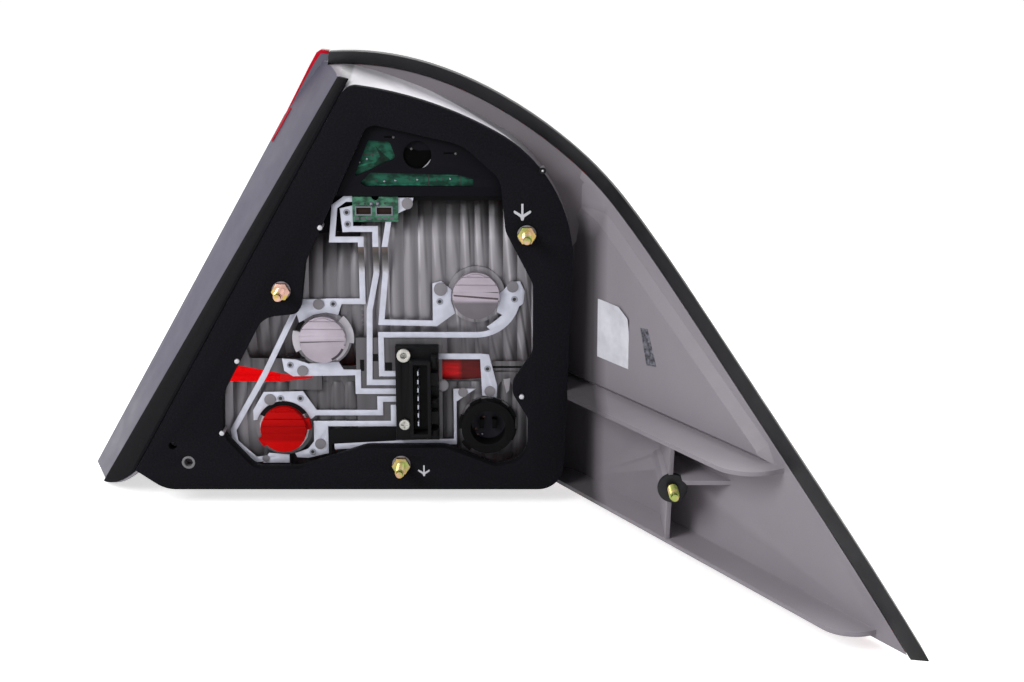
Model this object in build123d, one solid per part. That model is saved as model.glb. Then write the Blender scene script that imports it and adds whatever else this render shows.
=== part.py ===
from build123d import *
import math

# Tail light cluster for the rear corner of a car, drawn in millimetres.
# X runs outboard, Y rearward to the lens and Z up.
# The origin is on the sealing face, on the axis of the lower stud.

# Walls and fits
WALL = 2.5
LENS_WALL = 3.0
CLEARANCE = 0.2

# Skin that the lens is set on: its line in plan at the lowest and highest level
SKIN_LOW = -40.0
SKIN_HIGH = 260.0
SKIN_FRONT = -380.0
LAMP_FRONT = -340.0
REAR_INBOARD_LOW = (-230.0, 84.0)
REAR_MIDDLE_LOW = (-58.0, 90.0)
REAR_INBOARD_HIGH = (-230.0, 80.0)
REAR_MIDDLE_HIGH = (-44.0, 51.0)
CORNER_LOW = (110.8, 40.0)
CORNER_ADVANCE = 55.0
CORNER_RADIUS = 60.0
WING_ANGLE = math.radians(59.6)
WING_LENGTH = 400.0
WING_DATUM = 137.0

# Rear edge of the inboard wall, where skin and lens are cut off at a slant
INBOARD_EDGE_LOW = (-210.5, 73.8, -22.3)
INBOARD_EDGE_HIGH = (-86.6, 68.1, 193.0)
INBOARD_SLANT = math.radians(14.0)

# Lens outside the skin, lowest, middle and highest level
LENS_CROWN = (8.0, 13.0, 8.0)
LENS_INBOARD_FOOT = (-206.0, -24.0)
LENS_INBOARD_LEAN = 0.554
LENS_FOOT_CORNER = (104.0, -18.0)
LENS_EAR = ((-57.0, 245.0), (-52.2, 253.0), (-49.5, 254.8), (-44.4, 254.4), (-45.5, 245.0))
CLEAR_BAND_LOW = 68.0
CLEAR_BAND_HIGH = 128.0
CLEAR_BAND_END = 96.0
CLEAR_BAND_SLOPE = 14.0

# Rim of the lamp in front view, from the inboard top corner to the tip of the wing
RIM = ((-44, 254), (23, 247), (74, 224), (129, 181), (167, 136), (211, 76), (246, 28), (276, -16))
SEAL_WIDTH = 8.0
SEAL_INSIDE = 4.0
SEAL_OUTSIDE = 6.0

# Bucket: corners in front view at the sealing flange, and their splay for each mm of depth
GASKET_DEPTH = 8.0
BUCKET_DEPTH = 120.0
LEFT_FOOT, LEFT_FOOT_SPLAY = (-168.0, -4.0), (-0.62, -0.23)
SILL_LEFT, SILL_LEFT_SPLAY = (-150.0, -16.5), (-0.72, -0.16)
SILL_RIGHT, SILL_RIGHT_SPLAY = (102.0, -16.5), (0.0, -0.02)
SIDE_TOP, SIDE_TOP_SPLAY = (107.5, 135.0), (0.0, 0.0)
SHOULDER, SHOULDER_SPLAY = (97.5, 172.0), (0.0, 0.0)
BROW, BROW_SPLAY = (66.0, 207.0), (0.02, 0.04)
CROWN, CROWN_SPLAY = (22.0, 227.5), (-0.05, 0.10)
LEFT_TOP, LEFT_TOP_SPLAY = (-29.0, 239.0), (-0.38, 0.26)
SILL_RADIUS = 16.0
SILL_LEFT_RADIUS = 22.0
TOP_RADIUS = 9.0

# Service window through the gasket and the flange: x, z and corner radius
WINDOW = (
    (-17, 216, 8), (40, 203, 30), (63, 182, 14), (66, 150, 12), (83, 117, 12), (83, 72, 8),
    (68.5, 50, 10), (80, 31, 8), (80, 3, 14), (60, -1.5, 10), (28, 11, 10), (-22, 11, 20),
    (-64, -3, 14), (-93, -3, 12), (-112, 19, 12), (-111, 46, 14), (-84, 96, 14), (-61, 98.5, 6),
    (-57, 130, 10),
)
LED_LEDGE = 4.0
LED_SILL = 171.0

# Fixing studs and the points that find the place on the body
STUD_LOWER = (0.0, 0.0)
STUD_INBOARD = (-72.0, 113.0)
STUD_UPPER = (79.0, 148.0)
STUD_WING = (162.0, 20.0)
STUD_RADIUS = 3.0
STUD_ROOT_RADIUS = 2.5
STUD_REACH = 16.0
STUD_POINT_RADIUS = 2.1
STUD_POINT = 3.0
HEX_ACROSS = 10.0
HEX_THICK = 4.0
STUD_BOSS_RADIUS = 5.8
LOCATING_PINS = ((-47, 152.5), (-101, 68), (-112.5, 21), (76, 45), (88.5, 187.5))
LOCATING_PIN_RADIUS = 1.6
LOCATING_PIN_PROUD = 0.8
DRAIN_HOLE = (-144.0, 12.5)
DRAIN_RADIUS = 2.6
BUSH_CENTRE = (-134.5, 1.5)
BUSH_RADIUS = 4.2
BUSH_BORE = 2.7
FOAM_THICK = 2.2
FOAM_HIGH_WIDTH = 12.0

# Foot of the inboard wall below the sill, as depth and height
FOOT_START = (8.0, -7.0)
FOOT_BEND = (20.0, -17.3)
FOOT_TIP = (42.6, -26.2)
FOOT_END = (80.0, -22.4)
FOOT_ROOT = 14.0

# Wing of the housing
FLOOR_TOP = -15.0
FLOOR_WIDTH = 22.5
FLOOR_END = 156.0
WING_FOOT = -20.0
FLOOR_RADIUS = 18.0
SHELF_TOP = 49.0
SHELF_WIDTH = 31.5
SHELF_END = 78.0
SHELF_RADIUS = 22.0
WING_START = -150.0
RIB_X = 159.5
GUSSET_TOP = 27.5
GUSSET_FRONT = -107.0
WING_BOSS_FRONT = -96.0
WING_BOSS_RADIUS = 7.0
WING_STUD_ROOT = 20.0
WASHER_RADIUS = 8.6
WASHER_THICK = 3.0
PAD = ((-150, 46), (-150, 170), (-122, 170), (-96, 161), (65, 60), (74, 46))
PAD_RAISE = 6.0
PAD_TAPER = 38.0

# Circuit of stamped strips
CIRCUIT_FRONT = 11.0
STRIP_THICK = 0.8
STRIP_WIDTH = 3.6
UPPER_RISE = 3.8
JOG_TOP = LED_SILL - 32.0
JOG_BOTTOM = LED_SILL - 49.0
STRIP_END = 0.0
STAKE_RADIUS = 1.6
STAKE_HEAD = 0.8
STAKE_FIT = 0.15
RIVET_RADIUS = 2.1
RIVET_BORE = 1.1
RIVET_THICK = 0.6

# Reflectors: barrel shells with upright flutes
REFLECTOR_CREST = 13.0
REFLECTOR_WALL = 2.2
FLUTE_PITCH = 9.0
FLUTE_RISE = 1.6
FLUTE_SLOPE = 0.3
EAR_BACK = 16.0
UPPER_EARS = ((85.0, 89.5, 96.0, 126.0), (-99.0, -91.0, 88.0, 100.0))
LOWER_EARS = ((82.5, 87.0, 8.0, 32.0), (-115.5, -113.2, 20.0, 42.0))
TURN_BARREL = {"left": -24, "right": 91, "low": 57, "high": 170, "middle": 112, "radius": 150}
REVERSE_BARREL = {"left": -100, "right": -22, "low": 55, "high": 152, "middle": 104, "radius": 75}
LOWER_BARREL = {"left": -116, "right": 88, "low": -8, "high": 50, "middle": 26, "radius": 80}
TURN_NOTCH = (-21.5, 51.0, 40.0, 67.0)
SKIRTS = ((-58.0, 18.0, 46.0, 60.0), (53.0, 83.5, 46.0, 56.0))
SKIRT_FRONT = 17.4
SKIRT_THICK = 2.2
TONGUE = (-28.0, 26.0, 10.0, 80.0)
TONGUE_THICK = 2.6
BRACKET = (-70.0, -50.0, 46.0, 61.2)
BRACKET_BACK = 18.5

# Bulbs and their holders
TURN_PLACE = (47.7, 108.0)
REVERSE_PLACE = (-48.3, 79.8)
TAIL_PLACE = (-74.6, 21.0)
FOG_PLACE = (54.9, 23.5)
CAP_RADIUS = 14.6
CAP_FRONT = 5.0
PLUG_RADIUS = 13.2
PLUG_LENGTH = 7.0
NECK_WALL = 4.5
FOG_SOCKET_RADIUS = 16.8
FOG_SOCKET_FRONT = 3.0
FOG_RECESS_RADIUS = 11.0
BULB_BASE_RADIUS = 7.5
BULB_BASE_LENGTH = 9.0
BULB_RADIUS = 11.0

# Connector
CONNECTOR = (-3.0, 24.0, 15.0, 76.0)
CONNECTOR_BASE = 6.0
SHROUD = (6.5, 19.5, 20.0, 69.0)
SHROUD_FRONT = -6.0
SHROUD_WALL = 2.0
BLADE_COUNT = 7
BLADE_PITCH = 5.45
BLADE_TOP = 61.0
BLADE_X = 11.5
BLADE_SIZE = (0.8, 2.8)
CONNECTOR_SCREWS = ((2.6, 71.5), (2.4, 25.5))
SCREW_HEAD_RADIUS = 3.4
SCREW_HEAD = 2.2
SCREW_RADIUS = 1.5

# Lamp boards
BOARD_THICK = 1.6
LED_COVER_THICK = 3.0
LED_RADIUS = 2.5
LED_HEIGHT = 4.0
LED_PITCH = 11.0
LED_ROWS = (0.21, 0.49)
LED_MIDDLE = 5.0
LED_PORT = (0.17, 0.56)
LED_PORT_SHARE = 0.19
COVER_HEIGHT = WINDOW[0][1] - LED_SILL
FEED_BOARD = (-27.5, 0.5, LED_SILL - 16.0, LED_SILL - 0.5)

FLANGE_BACK = GASKET_DEPTH + WALL
CIRCUIT_BACK = CIRCUIT_FRONT + STRIP_THICK
UPPER_FRONT = CIRCUIT_FRONT - UPPER_RISE
ALONG = (math.cos(WING_ANGLE), -math.sin(WING_ANGLE))
ACROSS = (math.sin(WING_ANGLE), math.cos(WING_ANGLE))
FAR = 400.0


def upright(y):
    """Plane facing forward at depth y, drawn in X and Z."""
    return Plane(origin=(0, y, 0), x_dir=(1, 0, 0), z_dir=(0, -1, 0))


def slab(sketch, front, back):
    """Front-view sketch carried from one depth to another."""
    return extrude(upright(front) * sketch, amount=back - front, dir=(0, 1, 0))


def level_plate(sketch, bottom, top):
    """Plan sketch carried from one height to another."""
    return extrude(Plane.XY.offset(bottom) * sketch, amount=top - bottom)


def disc(place, radius, front, back):
    """Cylinder along Y at a front-view place."""
    return slab(Pos(*place) * Circle(radius), front, back)


def tube(place, radius, bore, front, back):
    """Cylinder along Y with a bore through it."""
    return slab(Pos(*place) * (Circle(radius) - Circle(bore)), front, back)


def block(limits, front, back):
    """Box from front-view limits left, right, low and high."""
    left, right, low, high = limits
    return slab(Pos((left + right) / 2, (low + high) / 2) * Rectangle(right - left, high - low), front, back)


def polygon(*points):
    """Face with straight sides."""
    return make_face(Polyline(*points, close=True).edges())


def rounded(corners):
    """Face whose corners are given as x, z and radius."""
    points = [corner[:2] for corner in corners]
    radii = [corner[2] for corner in corners]
    return make_face(FilletPolyline(*points, radius=radii, close=True).edges())


def shifted(points, distance):
    """Points of a line moved square to it, to its right."""
    moved = []
    last = len(points) - 1
    for index, (x, z) in enumerate(points):
        before = points[max(index - 1, 0)]
        after = points[min(index + 1, last)]
        run = (after[0] - before[0], after[1] - before[1])
        length = math.hypot(*run)
        moved.append((x + run[1] / length * distance, z - run[0] / length * distance))
    return moved


def ribbon(path, width=STRIP_WIDTH):
    """Strip of even width along straight runs, mitred at its bends."""
    sides = ([], [])
    for index, point in enumerate(path):
        runs = [(path[i], path[i + 1]) for i in (index - 1, index) if 0 <= i < len(path) - 1]
        angles = [math.atan2(b[1] - a[1], b[0] - a[0]) for a, b in runs]
        turn = math.remainder(angles[-1] - angles[0], math.tau)
        square = angles[0] + turn / 2 + math.pi / 2
        half = width / 2 / math.cos(turn / 2)
        for side, sign in zip(sides, (1, -1)):
            reach = sign * half
            side.append((point[0] + reach * math.cos(square), point[1] + reach * math.sin(square)))
    return polygon(*sides[0], *reversed(sides[1]))


def skin_point(low, high, level):
    """Point of the skin at a level: it leans in more towards the top."""
    share = ((level - SKIN_LOW) / (SKIN_HIGH - SKIN_LOW)) ** 2
    return tuple(a + (b - a) * share for a, b in zip(low, high))


def skin_section(level, outset):
    """Plan of all that lies inside the skin at a level, grown by the outset."""
    corner_high = tuple(c + CORNER_ADVANCE * a for c, a in zip(CORNER_LOW, ALONG))
    inboard = skin_point(REAR_INBOARD_LOW, REAR_INBOARD_HIGH, level)
    middle = skin_point(REAR_MIDDLE_LOW, REAR_MIDDLE_HIGH, level)
    corner = skin_point(CORNER_LOW, corner_high, level)
    tip = tuple(c + WING_LENGTH * a for c, a in zip(corner, ALONG))
    rear = ThreePointArc(inboard, middle, corner)
    side = Line(corner, tip)
    front = Polyline(tip, (tip[0], SKIN_FRONT), (inboard[0], SKIN_FRONT), inboard)
    face = make_face((rear + side + front).edges())
    face = fillet(face.vertices().sort_by_distance((*corner, 0))[0], CORNER_RADIUS)
    if outset:
        face = offset(face, outset, kind=Kind.INTERSECTION)
    return Plane.XY.offset(level) * face


def skin_solid(low, middle=None, high=None):
    """Everything inside the skin, grown by an outset at three levels."""
    outsets = (low, low if middle is None else middle, low if high is None else high)
    levels = (SKIN_LOW, (SKIN_LOW + SKIN_HIGH) / 2, SKIN_HIGH)
    return loft([skin_section(level, outset) for level, outset in zip(levels, outsets)])


def inboard_slant(gap=0.0):
    """All that lies behind the slant through the rear edge of the inboard wall."""
    low, high = Vector(*INBOARD_EDGE_LOW), Vector(*INBOARD_EDGE_HIGH)
    rearward = (high - low).cross(Vector(math.cos(INBOARD_SLANT), math.sin(INBOARD_SLANT), 0)).normalized()
    plane = Plane(origin=low + rearward * gap, x_dir=high - low, z_dir=rearward)
    return extrude(plane * Rectangle(3 * FAR, 2 * FAR), amount=FAR)


def splayed(corner, splay, depth):
    """Corner of the bucket at a depth behind the flange."""
    return (corner[0] + splay[0] * depth, corner[1] + splay[1] * depth)


def bucket_outline(depth, inset=0.0):
    """Front view of the bucket at a depth behind the flange's front."""
    left_foot = splayed(LEFT_FOOT, LEFT_FOOT_SPLAY, depth)
    sill_left = splayed(SILL_LEFT, SILL_LEFT_SPLAY, depth)
    sill_right = splayed(SILL_RIGHT, SILL_RIGHT_SPLAY, depth)
    side_top = splayed(SIDE_TOP, SIDE_TOP_SPLAY, depth)
    shoulder = splayed(SHOULDER, SHOULDER_SPLAY, depth)
    brow = splayed(BROW, BROW_SPLAY, depth)
    crown = splayed(CROWN, CROWN_SPLAY, depth)
    left_top = splayed(LEFT_TOP, LEFT_TOP_SPLAY, depth)
    walls = Polyline(left_top, left_foot, sill_left, sill_right, side_top)
    brows = ThreePointArc(side_top, shoulder, brow) + ThreePointArc(brow, crown, left_top)
    face = make_face((walls + brows).edges())
    face = fillet(face.vertices().sort_by_distance((*sill_right, 0))[0], SILL_RADIUS)
    face = fillet(face.vertices().sort_by_distance((*sill_left, 0))[0], SILL_LEFT_RADIUS)
    face = fillet(face.vertices().sort_by_distance((*left_top, 0))[0], TOP_RADIUS)
    if inset:
        face = offset(face, -inset, kind=Kind.INTERSECTION)
    return face


def bucket_solid(inset, front):
    """Bucket filled in, from a depth back past the lens."""
    ends = (front, BUCKET_DEPTH)
    return loft([upright(y) * bucket_outline(y - GASKET_DEPTH, inset) for y in ends], ruled=True)


def inboard_sheet(outside, inside):
    """Sheet along the inboard wall, between two distances from its outer face."""
    sections = []
    for y in (GASKET_DEPTH, BUCKET_DEPTH):
        top = splayed(LEFT_TOP, LEFT_TOP_SPLAY, y - GASKET_DEPTH)
        foot = splayed(LEFT_FOOT, LEFT_FOOT_SPLAY, y - GASKET_DEPTH)
        below = tuple(f + (f - t) / 4 for f, t in zip(foot, top))
        sides = [shifted((below, top), distance) for distance in (-outside, inside)]
        sections.append(upright(y) * polygon(*sides[0], *reversed(sides[1])))
    return loft(sections, ruled=True)


def foot_profile(rear_edge):
    """Side view of the inboard wall's foot, closed by the given rear edge."""
    bend = ThreePointArc(FOOT_START, FOOT_BEND, FOOT_TIP)
    return Plane.YZ * make_face((bend + Polyline(FOOT_TIP, *rear_edge, FOOT_START)).edges())


def inboard_foot():
    """Lower end of the inboard wall, carried past the sill."""
    rear_edge = (FOOT_END, (FOOT_END[0], FOOT_ROOT), (FOOT_START[0], FOOT_ROOT))
    return inboard_sheet(0, WALL) & extrude(foot_profile(rear_edge), amount=FAR, both=True)


def window_outline():
    """Service window in front view."""
    return rounded(WINDOW)


def above(z):
    """Front view of all that is above a height."""
    return Pos(0, z + FAR / 2) * Rectangle(2 * FAR, FAR)


def wing_point(along, inset):
    """Plan point beside the wing: along it from the datum, and in from the skin."""
    reach = WING_DATUM + along
    return (
        CORNER_LOW[0] + reach * ALONG[0] - inset * ACROSS[0],
        CORNER_LOW[1] + reach * ALONG[1] - inset * ACROSS[1],
    )


def wing_front(x, inset):
    """Depth at which a line beside the wing passes x."""
    along = (x - wing_point(0, inset)[0]) / ALONG[0]
    return wing_point(along, inset)[1]


def wing_plate(end, width, radius):
    """Plan of a level plate on the inside of the wing, with its end rounded."""
    start, outer = WING_START, -FAR / 10
    corners = [(start, outer, 0), (start, width, 0), (end, width, radius), (end, outer, 0)]
    return rounded([(*wing_point(along, inset), r) for along, inset, r in corners])


def wing_field():
    """All that lies in front view between the seal and the sealing flange."""
    rim = shifted(RIM, SEAL_WIDTH + 2 * CLEARANCE)
    inside = Polyline(rim[-1], (SILL_LEFT[0] / 3, rim[-1][1] - FAR / 20), STUD_INBOARD, rim[0])
    return make_face((Spline(*rim) + inside).edges())


def seal_band(grow=0.0):
    """Front view of the rubber lip along the rim, grown on both sides."""
    outer, inner = shifted(RIM, -grow), shifted(RIM, SEAL_WIDTH + grow)
    ends = Line(outer[0], inner[0]) + Line(outer[-1], inner[-1])
    return make_face((Spline(*outer) + Spline(*inner) + ends).edges())


def wing_ribs():
    """Floor, shelf, upright rib, stud boss and gusset of the wing."""
    floor = level_plate(wing_plate(FLOOR_END, FLOOR_WIDTH, FLOOR_RADIUS), FLOOR_TOP - WALL, FLOOR_TOP)
    shelf = level_plate(wing_plate(SHELF_END, SHELF_WIDTH, SHELF_RADIUS), SHELF_TOP - WALL, SHELF_TOP)
    profile = polygon(
        (wing_front(RIB_X, SHELF_WIDTH), SHELF_TOP - WALL / 2),
        (wing_front(RIB_X, FLOOR_WIDTH), FLOOR_TOP - WALL / 2),
        (0, FLOOR_TOP - WALL / 2),
        (0, SHELF_TOP - WALL / 2),
    )
    rib = extrude(Plane.YZ.offset(RIB_X) * profile, amount=WALL)
    boss = disc(STUD_WING, WING_BOSS_RADIUS, WING_BOSS_FRONT, 0)
    gusset = polygon((RIB_X, GUSSET_FRONT), (RIB_X + FAR / 8, GUSSET_FRONT), (RIB_X + FAR / 8, 0), (RIB_X, 0))
    return floor + shelf + rib + boss + level_plate(gusset, GUSSET_TOP - WALL, GUSSET_TOP)


def wing_pad():
    """Raised field on the inside of the wing, with sloping sides."""
    plane = Plane(origin=(*wing_point(0, 0), 0), x_dir=(*ALONG, 0), z_dir=(-ACROSS[0], -ACROSS[1], 0))
    return extrude(plane * polygon(*PAD), amount=WALL + PAD_RAISE, taper=PAD_TAPER)


def flange_fittings():
    """Stud bosses and locating pins that stand on the flange."""
    bosses = [disc(s, STUD_BOSS_RADIUS, 0, FLANGE_BACK) for s in (STUD_LOWER, STUD_INBOARD, STUD_UPPER)]
    pins = [disc(p, LOCATING_PIN_RADIUS, -LOCATING_PIN_PROUD, FLANGE_BACK) for p in LOCATING_PINS]
    return bosses + pins


def housing():
    """One moulding: bucket with its sealing flange, and the wing with its ribs."""
    skin = skin_solid(0) - inboard_slant()
    cavity = bucket_solid(WALL, FLANGE_BACK)
    outboard = Pos(SILL_RIGHT[0] + FAR) * Rectangle(2 * FAR, FAR)
    reach = above(FLOOR_TOP - WALL) + (above(WING_FOOT) & outboard)
    wall = (skin - skin_solid(-WALL)) & slab(reach, LAMP_FRONT, BUCKET_DEPTH)
    wing = (wall + (wing_ribs() & skin) + (wing_pad() & skin)) & slab(wing_field(), LAMP_FRONT, BUCKET_DEPTH)
    wing -= slab(bucket_outline(0, -CLEARANCE), LAMP_FRONT, GASKET_DEPTH)
    bucket = (bucket_solid(0, GASKET_DEPTH) & skin) - slab(seal_band(CLEARANCE), 0, BUCKET_DEPTH)
    body = bucket + wing - cavity + (inboard_foot() & skin)
    window = window_outline()
    opening = (window - above(LED_SILL)) + (offset(window, -LED_LEDGE) & above(LED_SILL - LED_LEDGE))
    body -= slab(opening, 0, FLANGE_BACK + CLEARANCE)
    for fitting in flange_fittings():
        body += fitting
    for stud in (STUD_LOWER, STUD_INBOARD, STUD_UPPER):
        body -= disc(stud, STUD_ROOT_RADIUS, 0, FLANGE_BACK)
    body -= disc(STUD_WING, STUD_ROOT_RADIUS, WING_BOSS_FRONT, WING_BOSS_FRONT + WING_STUD_ROOT)
    body -= disc(STUD_WING, WASHER_RADIUS + CLEARANCE, LAMP_FRONT, WING_BOSS_FRONT)
    return body


def gasket():
    """Foam ring on the flange, with holes for studs, pins, drain and bush."""
    ring = bucket_outline(0) - window_outline()
    for stud in (STUD_LOWER, STUD_INBOARD, STUD_UPPER):
        ring -= Pos(*stud) * Circle(STUD_BOSS_RADIUS + CLEARANCE)
    for pin in LOCATING_PINS:
        ring -= Pos(*pin) * Circle(LOCATING_PIN_RADIUS + CLEARANCE)
    ring -= Pos(*DRAIN_HOLE) * Circle(DRAIN_RADIUS)
    ring -= Pos(*BUSH_CENTRE) * Circle(BUSH_RADIUS)
    return slab(ring, 0, GASKET_DEPTH)


def locating_bush():
    """Ring that guides a dowel of the body through the gasket."""
    return tube(BUSH_CENTRE, BUSH_RADIUS, BUSH_BORE, 0, GASKET_DEPTH)


def inboard_foam_strip():
    """Tapered foam on the inboard wall of the bucket, down to its foot."""
    top = LEFT_TOP[1] - TOP_RADIUS
    rear_edge = ((GASKET_DEPTH + FOAM_HIGH_WIDTH, top), (GASKET_DEPTH, top))
    strip = extrude(foot_profile(rear_edge), amount=FAR, both=True)
    return inboard_sheet(FOAM_THICK + CLEARANCE, -CLEARANCE) & strip


def lens_outline(inset=0.0):
    """Front view of the lens, under the seal."""
    rim = shifted(RIM, SEAL_WIDTH + CLEARANCE + inset)
    last = (rim[-1][0] - inset, rim[-1][1] + 1.5 * inset)
    corner = (LENS_FOOT_CORNER[0], LENS_FOOT_CORNER[1] + inset)
    foot = (LENS_INBOARD_FOOT[0] + 1.7 * inset, LENS_INBOARD_FOOT[1] + inset)
    top = (foot[0] + (rim[0][1] - foot[1]) * LENS_INBOARD_LEAN, rim[0][1])
    edge = Polyline(last, corner, foot, top, rim[0])
    return make_face((Spline(*rim[:-1], last) + edge).edges())


def lens():
    """Crowned shell with an edge all round that stands on the skin."""
    inner = [crown - LENS_WALL for crown in LENS_CROWN]
    outside = skin_solid(*LENS_CROWN)
    shell = outside & slab(lens_outline(), LAMP_FRONT, BUCKET_DEPTH)
    hollow = skin_solid(*inner) & slab(lens_outline(LENS_WALL), LAMP_FRONT, BUCKET_DEPTH)
    ear = outside & slab(polygon(*LENS_EAR), LAMP_FRONT, BUCKET_DEPTH)
    return shell - hollow + ear - (skin_solid(CLEARANCE) - inboard_slant(CLEARANCE))


def clear_band():
    """Front view of the clear field for the turn and reverse lamps."""
    return polygon(
        (-FAR, CLEAR_BAND_LOW),
        (CLEAR_BAND_END, CLEAR_BAND_LOW),
        (CLEAR_BAND_END + CLEAR_BAND_SLOPE, CLEAR_BAND_HIGH),
        (-FAR, CLEAR_BAND_HIGH),
    )


def edge_seal():
    """Rubber lip along the rim, over the edges of skin and lens."""
    strip = slab(seal_band(), LAMP_FRONT, BUCKET_DEPTH)
    return (skin_solid(SEAL_OUTSIDE) - skin_solid(-SEAL_INSIDE)) & strip


def barrel_depth(barrel, z):
    """Depth of a barrel's crest at height z."""
    rise = z - barrel["middle"]
    return REFLECTOR_CREST + barrel["radius"] - math.sqrt(barrel["radius"] ** 2 - rise ** 2)


def flutes(barrel):
    """Points in plan along a row of flutes with flat crests."""
    count = round((barrel["right"] - barrel["left"]) / FLUTE_PITCH)
    step = (barrel["right"] - barrel["left"]) / count
    valley = REFLECTOR_CREST + FLUTE_RISE
    row = [(barrel["left"], valley)]
    for index in range(count):
        x = barrel["left"] + index * step
        row.append((x + FLUTE_SLOPE * step, REFLECTOR_CREST))
        row.append((x + (1 - FLUTE_SLOPE) * step, REFLECTOR_CREST))
        row.append((x + step, valley))
    return row


def barrel_shell(barrel):
    """Fluted wall turned about a level axis behind it."""
    back = REFLECTOR_CREST + FLUTE_RISE + REFLECTOR_WALL
    face = polygon(*flutes(barrel), (barrel["right"], back), (barrel["left"], back))
    middle, radius = barrel["middle"], barrel["radius"]
    axis = Axis((0, REFLECTOR_CREST + radius, middle), (1, 0, 0))
    up = math.degrees(math.asin((barrel["high"] - middle) / radius))
    down = math.degrees(math.asin((middle - barrel["low"]) / radius))
    start = (Plane.XY.offset(middle) * face).rotate(axis, -up)
    return revolve(start, axis, revolution_arc=up + down)


def neck(place, barrel):
    """Sleeve of a reflector round a bulb holder."""
    reach = max(barrel_depth(barrel, place[1] + s * PLUG_RADIUS) for s in (-1, 1))
    bore = PLUG_RADIUS + CLEARANCE
    return disc(place, bore + NECK_WALL, CIRCUIT_BACK, reach + FLUTE_RISE + REFLECTOR_WALL)


def stake(place, barrel, head):
    """Post on a reflector, through a strip and melted over in front of it."""
    front = STRIP_LEVELS.get(place, CIRCUIT_FRONT)
    post = disc(place, STAKE_RADIUS, front, barrel_depth(barrel, place[1]) + FLUTE_RISE + 1)
    return post + disc(place, head, front - STAKE_HEAD, front)


def reflector(barrels, places, stakes, ears):
    """Fluted barrels in one shell, with bulb necks, stakes and the ears it is held by."""
    body = barrel_shell(barrels[0])
    for barrel in barrels[1:]:
        body += barrel_shell(barrel)
    body = body & slab(bucket_outline(0, WALL + CLEARANCE), 0, BUCKET_DEPTH)
    for ear in ears:
        body += block(ear, FLANGE_BACK, EAR_BACK)
    for place, barrel in places:
        body += neck(place, barrel)
    for place, barrel, head in stakes:
        body += stake(place, barrel, head)
    for place, barrel in places:
        body -= disc(place, PLUG_RADIUS + CLEARANCE, 0, BUCKET_DEPTH)
    return body


# Stake places on the circuit, with the radius of the melted head
TOP_STAKE = (6.0, LED_SILL - 5.0)
UPPER_STAKES = {
    TOP_STAKE: 3.4, (-50.5, 101.8): 3.4, (25.6, 111.5): 4.2, (70.4, 113.0): 3.6,
}
LOWER_STAKES = {
    (-83.0, 39.8): 3.6, (-52.0, 10.3): 3.4, (56.0, 45.2): 3.4, (39.0, 44.6): 3.0, (-87.0, 0.6): 2.2,
    (-61.8, 58.6): 3.4,
}
STRIP_LEVELS = {TOP_STAKE: UPPER_FRONT}
RIVETS = (
    (-41.4, 102.0), (-69.5, 62.5), (-76.3, 40.6), (-63.8, 40.6), (-57.0, 5.0), (25.0, 103.5), (71.5, 105.0),
    (54.6, 60.0),
)
UPPER_RIVETS = ((-30.8, LED_SILL - 17.7), (-31.2, LED_SILL - 10.4))


def reflector_upper():
    """Reflector of the turn and reverse lamps."""
    places = [(TURN_PLACE, TURN_BARREL), (REVERSE_PLACE, REVERSE_BARREL)]
    border = TURN_BARREL["left"]
    stakes = [
        (place, REVERSE_BARREL if place[0] < border else TURN_BARREL, head)
        for place, head in UPPER_STAKES.items()
    ]
    body = reflector([TURN_BARREL, REVERSE_BARREL], places, stakes, UPPER_EARS)
    return body - block(TURN_NOTCH, 0, BUCKET_DEPTH)


def skirts():
    """Plain strips above the lower barrel that close the view between the reflectors."""
    room = disc(REVERSE_PLACE, PLUG_RADIUS + NECK_WALL + 2 * CLEARANCE, 0, BUCKET_DEPTH)
    return [block(limits, SKIRT_FRONT, SKIRT_FRONT + SKIRT_THICK) - room for limits in SKIRTS]


def reflector_lower():
    """Reflector of the tail and fog lamps, with the tongue that carries the connector."""
    places = [(TAIL_PLACE, LOWER_BARREL), (FOG_PLACE, LOWER_BARREL)]
    stakes = [(place, LOWER_BARREL, head) for place, head in LOWER_STAKES.items()]
    body = reflector([LOWER_BARREL], places, stakes, LOWER_EARS)
    for wall in skirts():
        body += wall
    body += block(BRACKET, CIRCUIT_BACK, BRACKET_BACK)
    body += block(TONGUE, CIRCUIT_BACK, CIRCUIT_BACK + TONGUE_THICK)
    for screw in CONNECTOR_SCREWS:
        body -= disc(screw, SCREW_RADIUS, 0, BUCKET_DEPTH / 4)
    return body


def strip(sketch, front=CIRCUIT_FRONT):
    """Stamped strip with holes for the stakes that pass it."""
    for place in (*UPPER_STAKES, *LOWER_STAKES):
        sketch -= Pos(*place) * Circle(STAKE_RADIUS + STAKE_FIT)
    return slab(sketch, front, front + STRIP_THICK)


def jog(x, width=STRIP_WIDTH):
    """Sloping piece between the two levels of a strip."""
    profile = polygon(
        (UPPER_FRONT, JOG_TOP),
        (UPPER_FRONT + STRIP_THICK, JOG_TOP),
        (CIRCUIT_BACK, JOG_BOTTOM),
        (CIRCUIT_FRONT, JOG_BOTTOM),
    )
    return extrude(Plane.YZ.offset(x - width / 2) * profile, amount=width)


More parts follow.
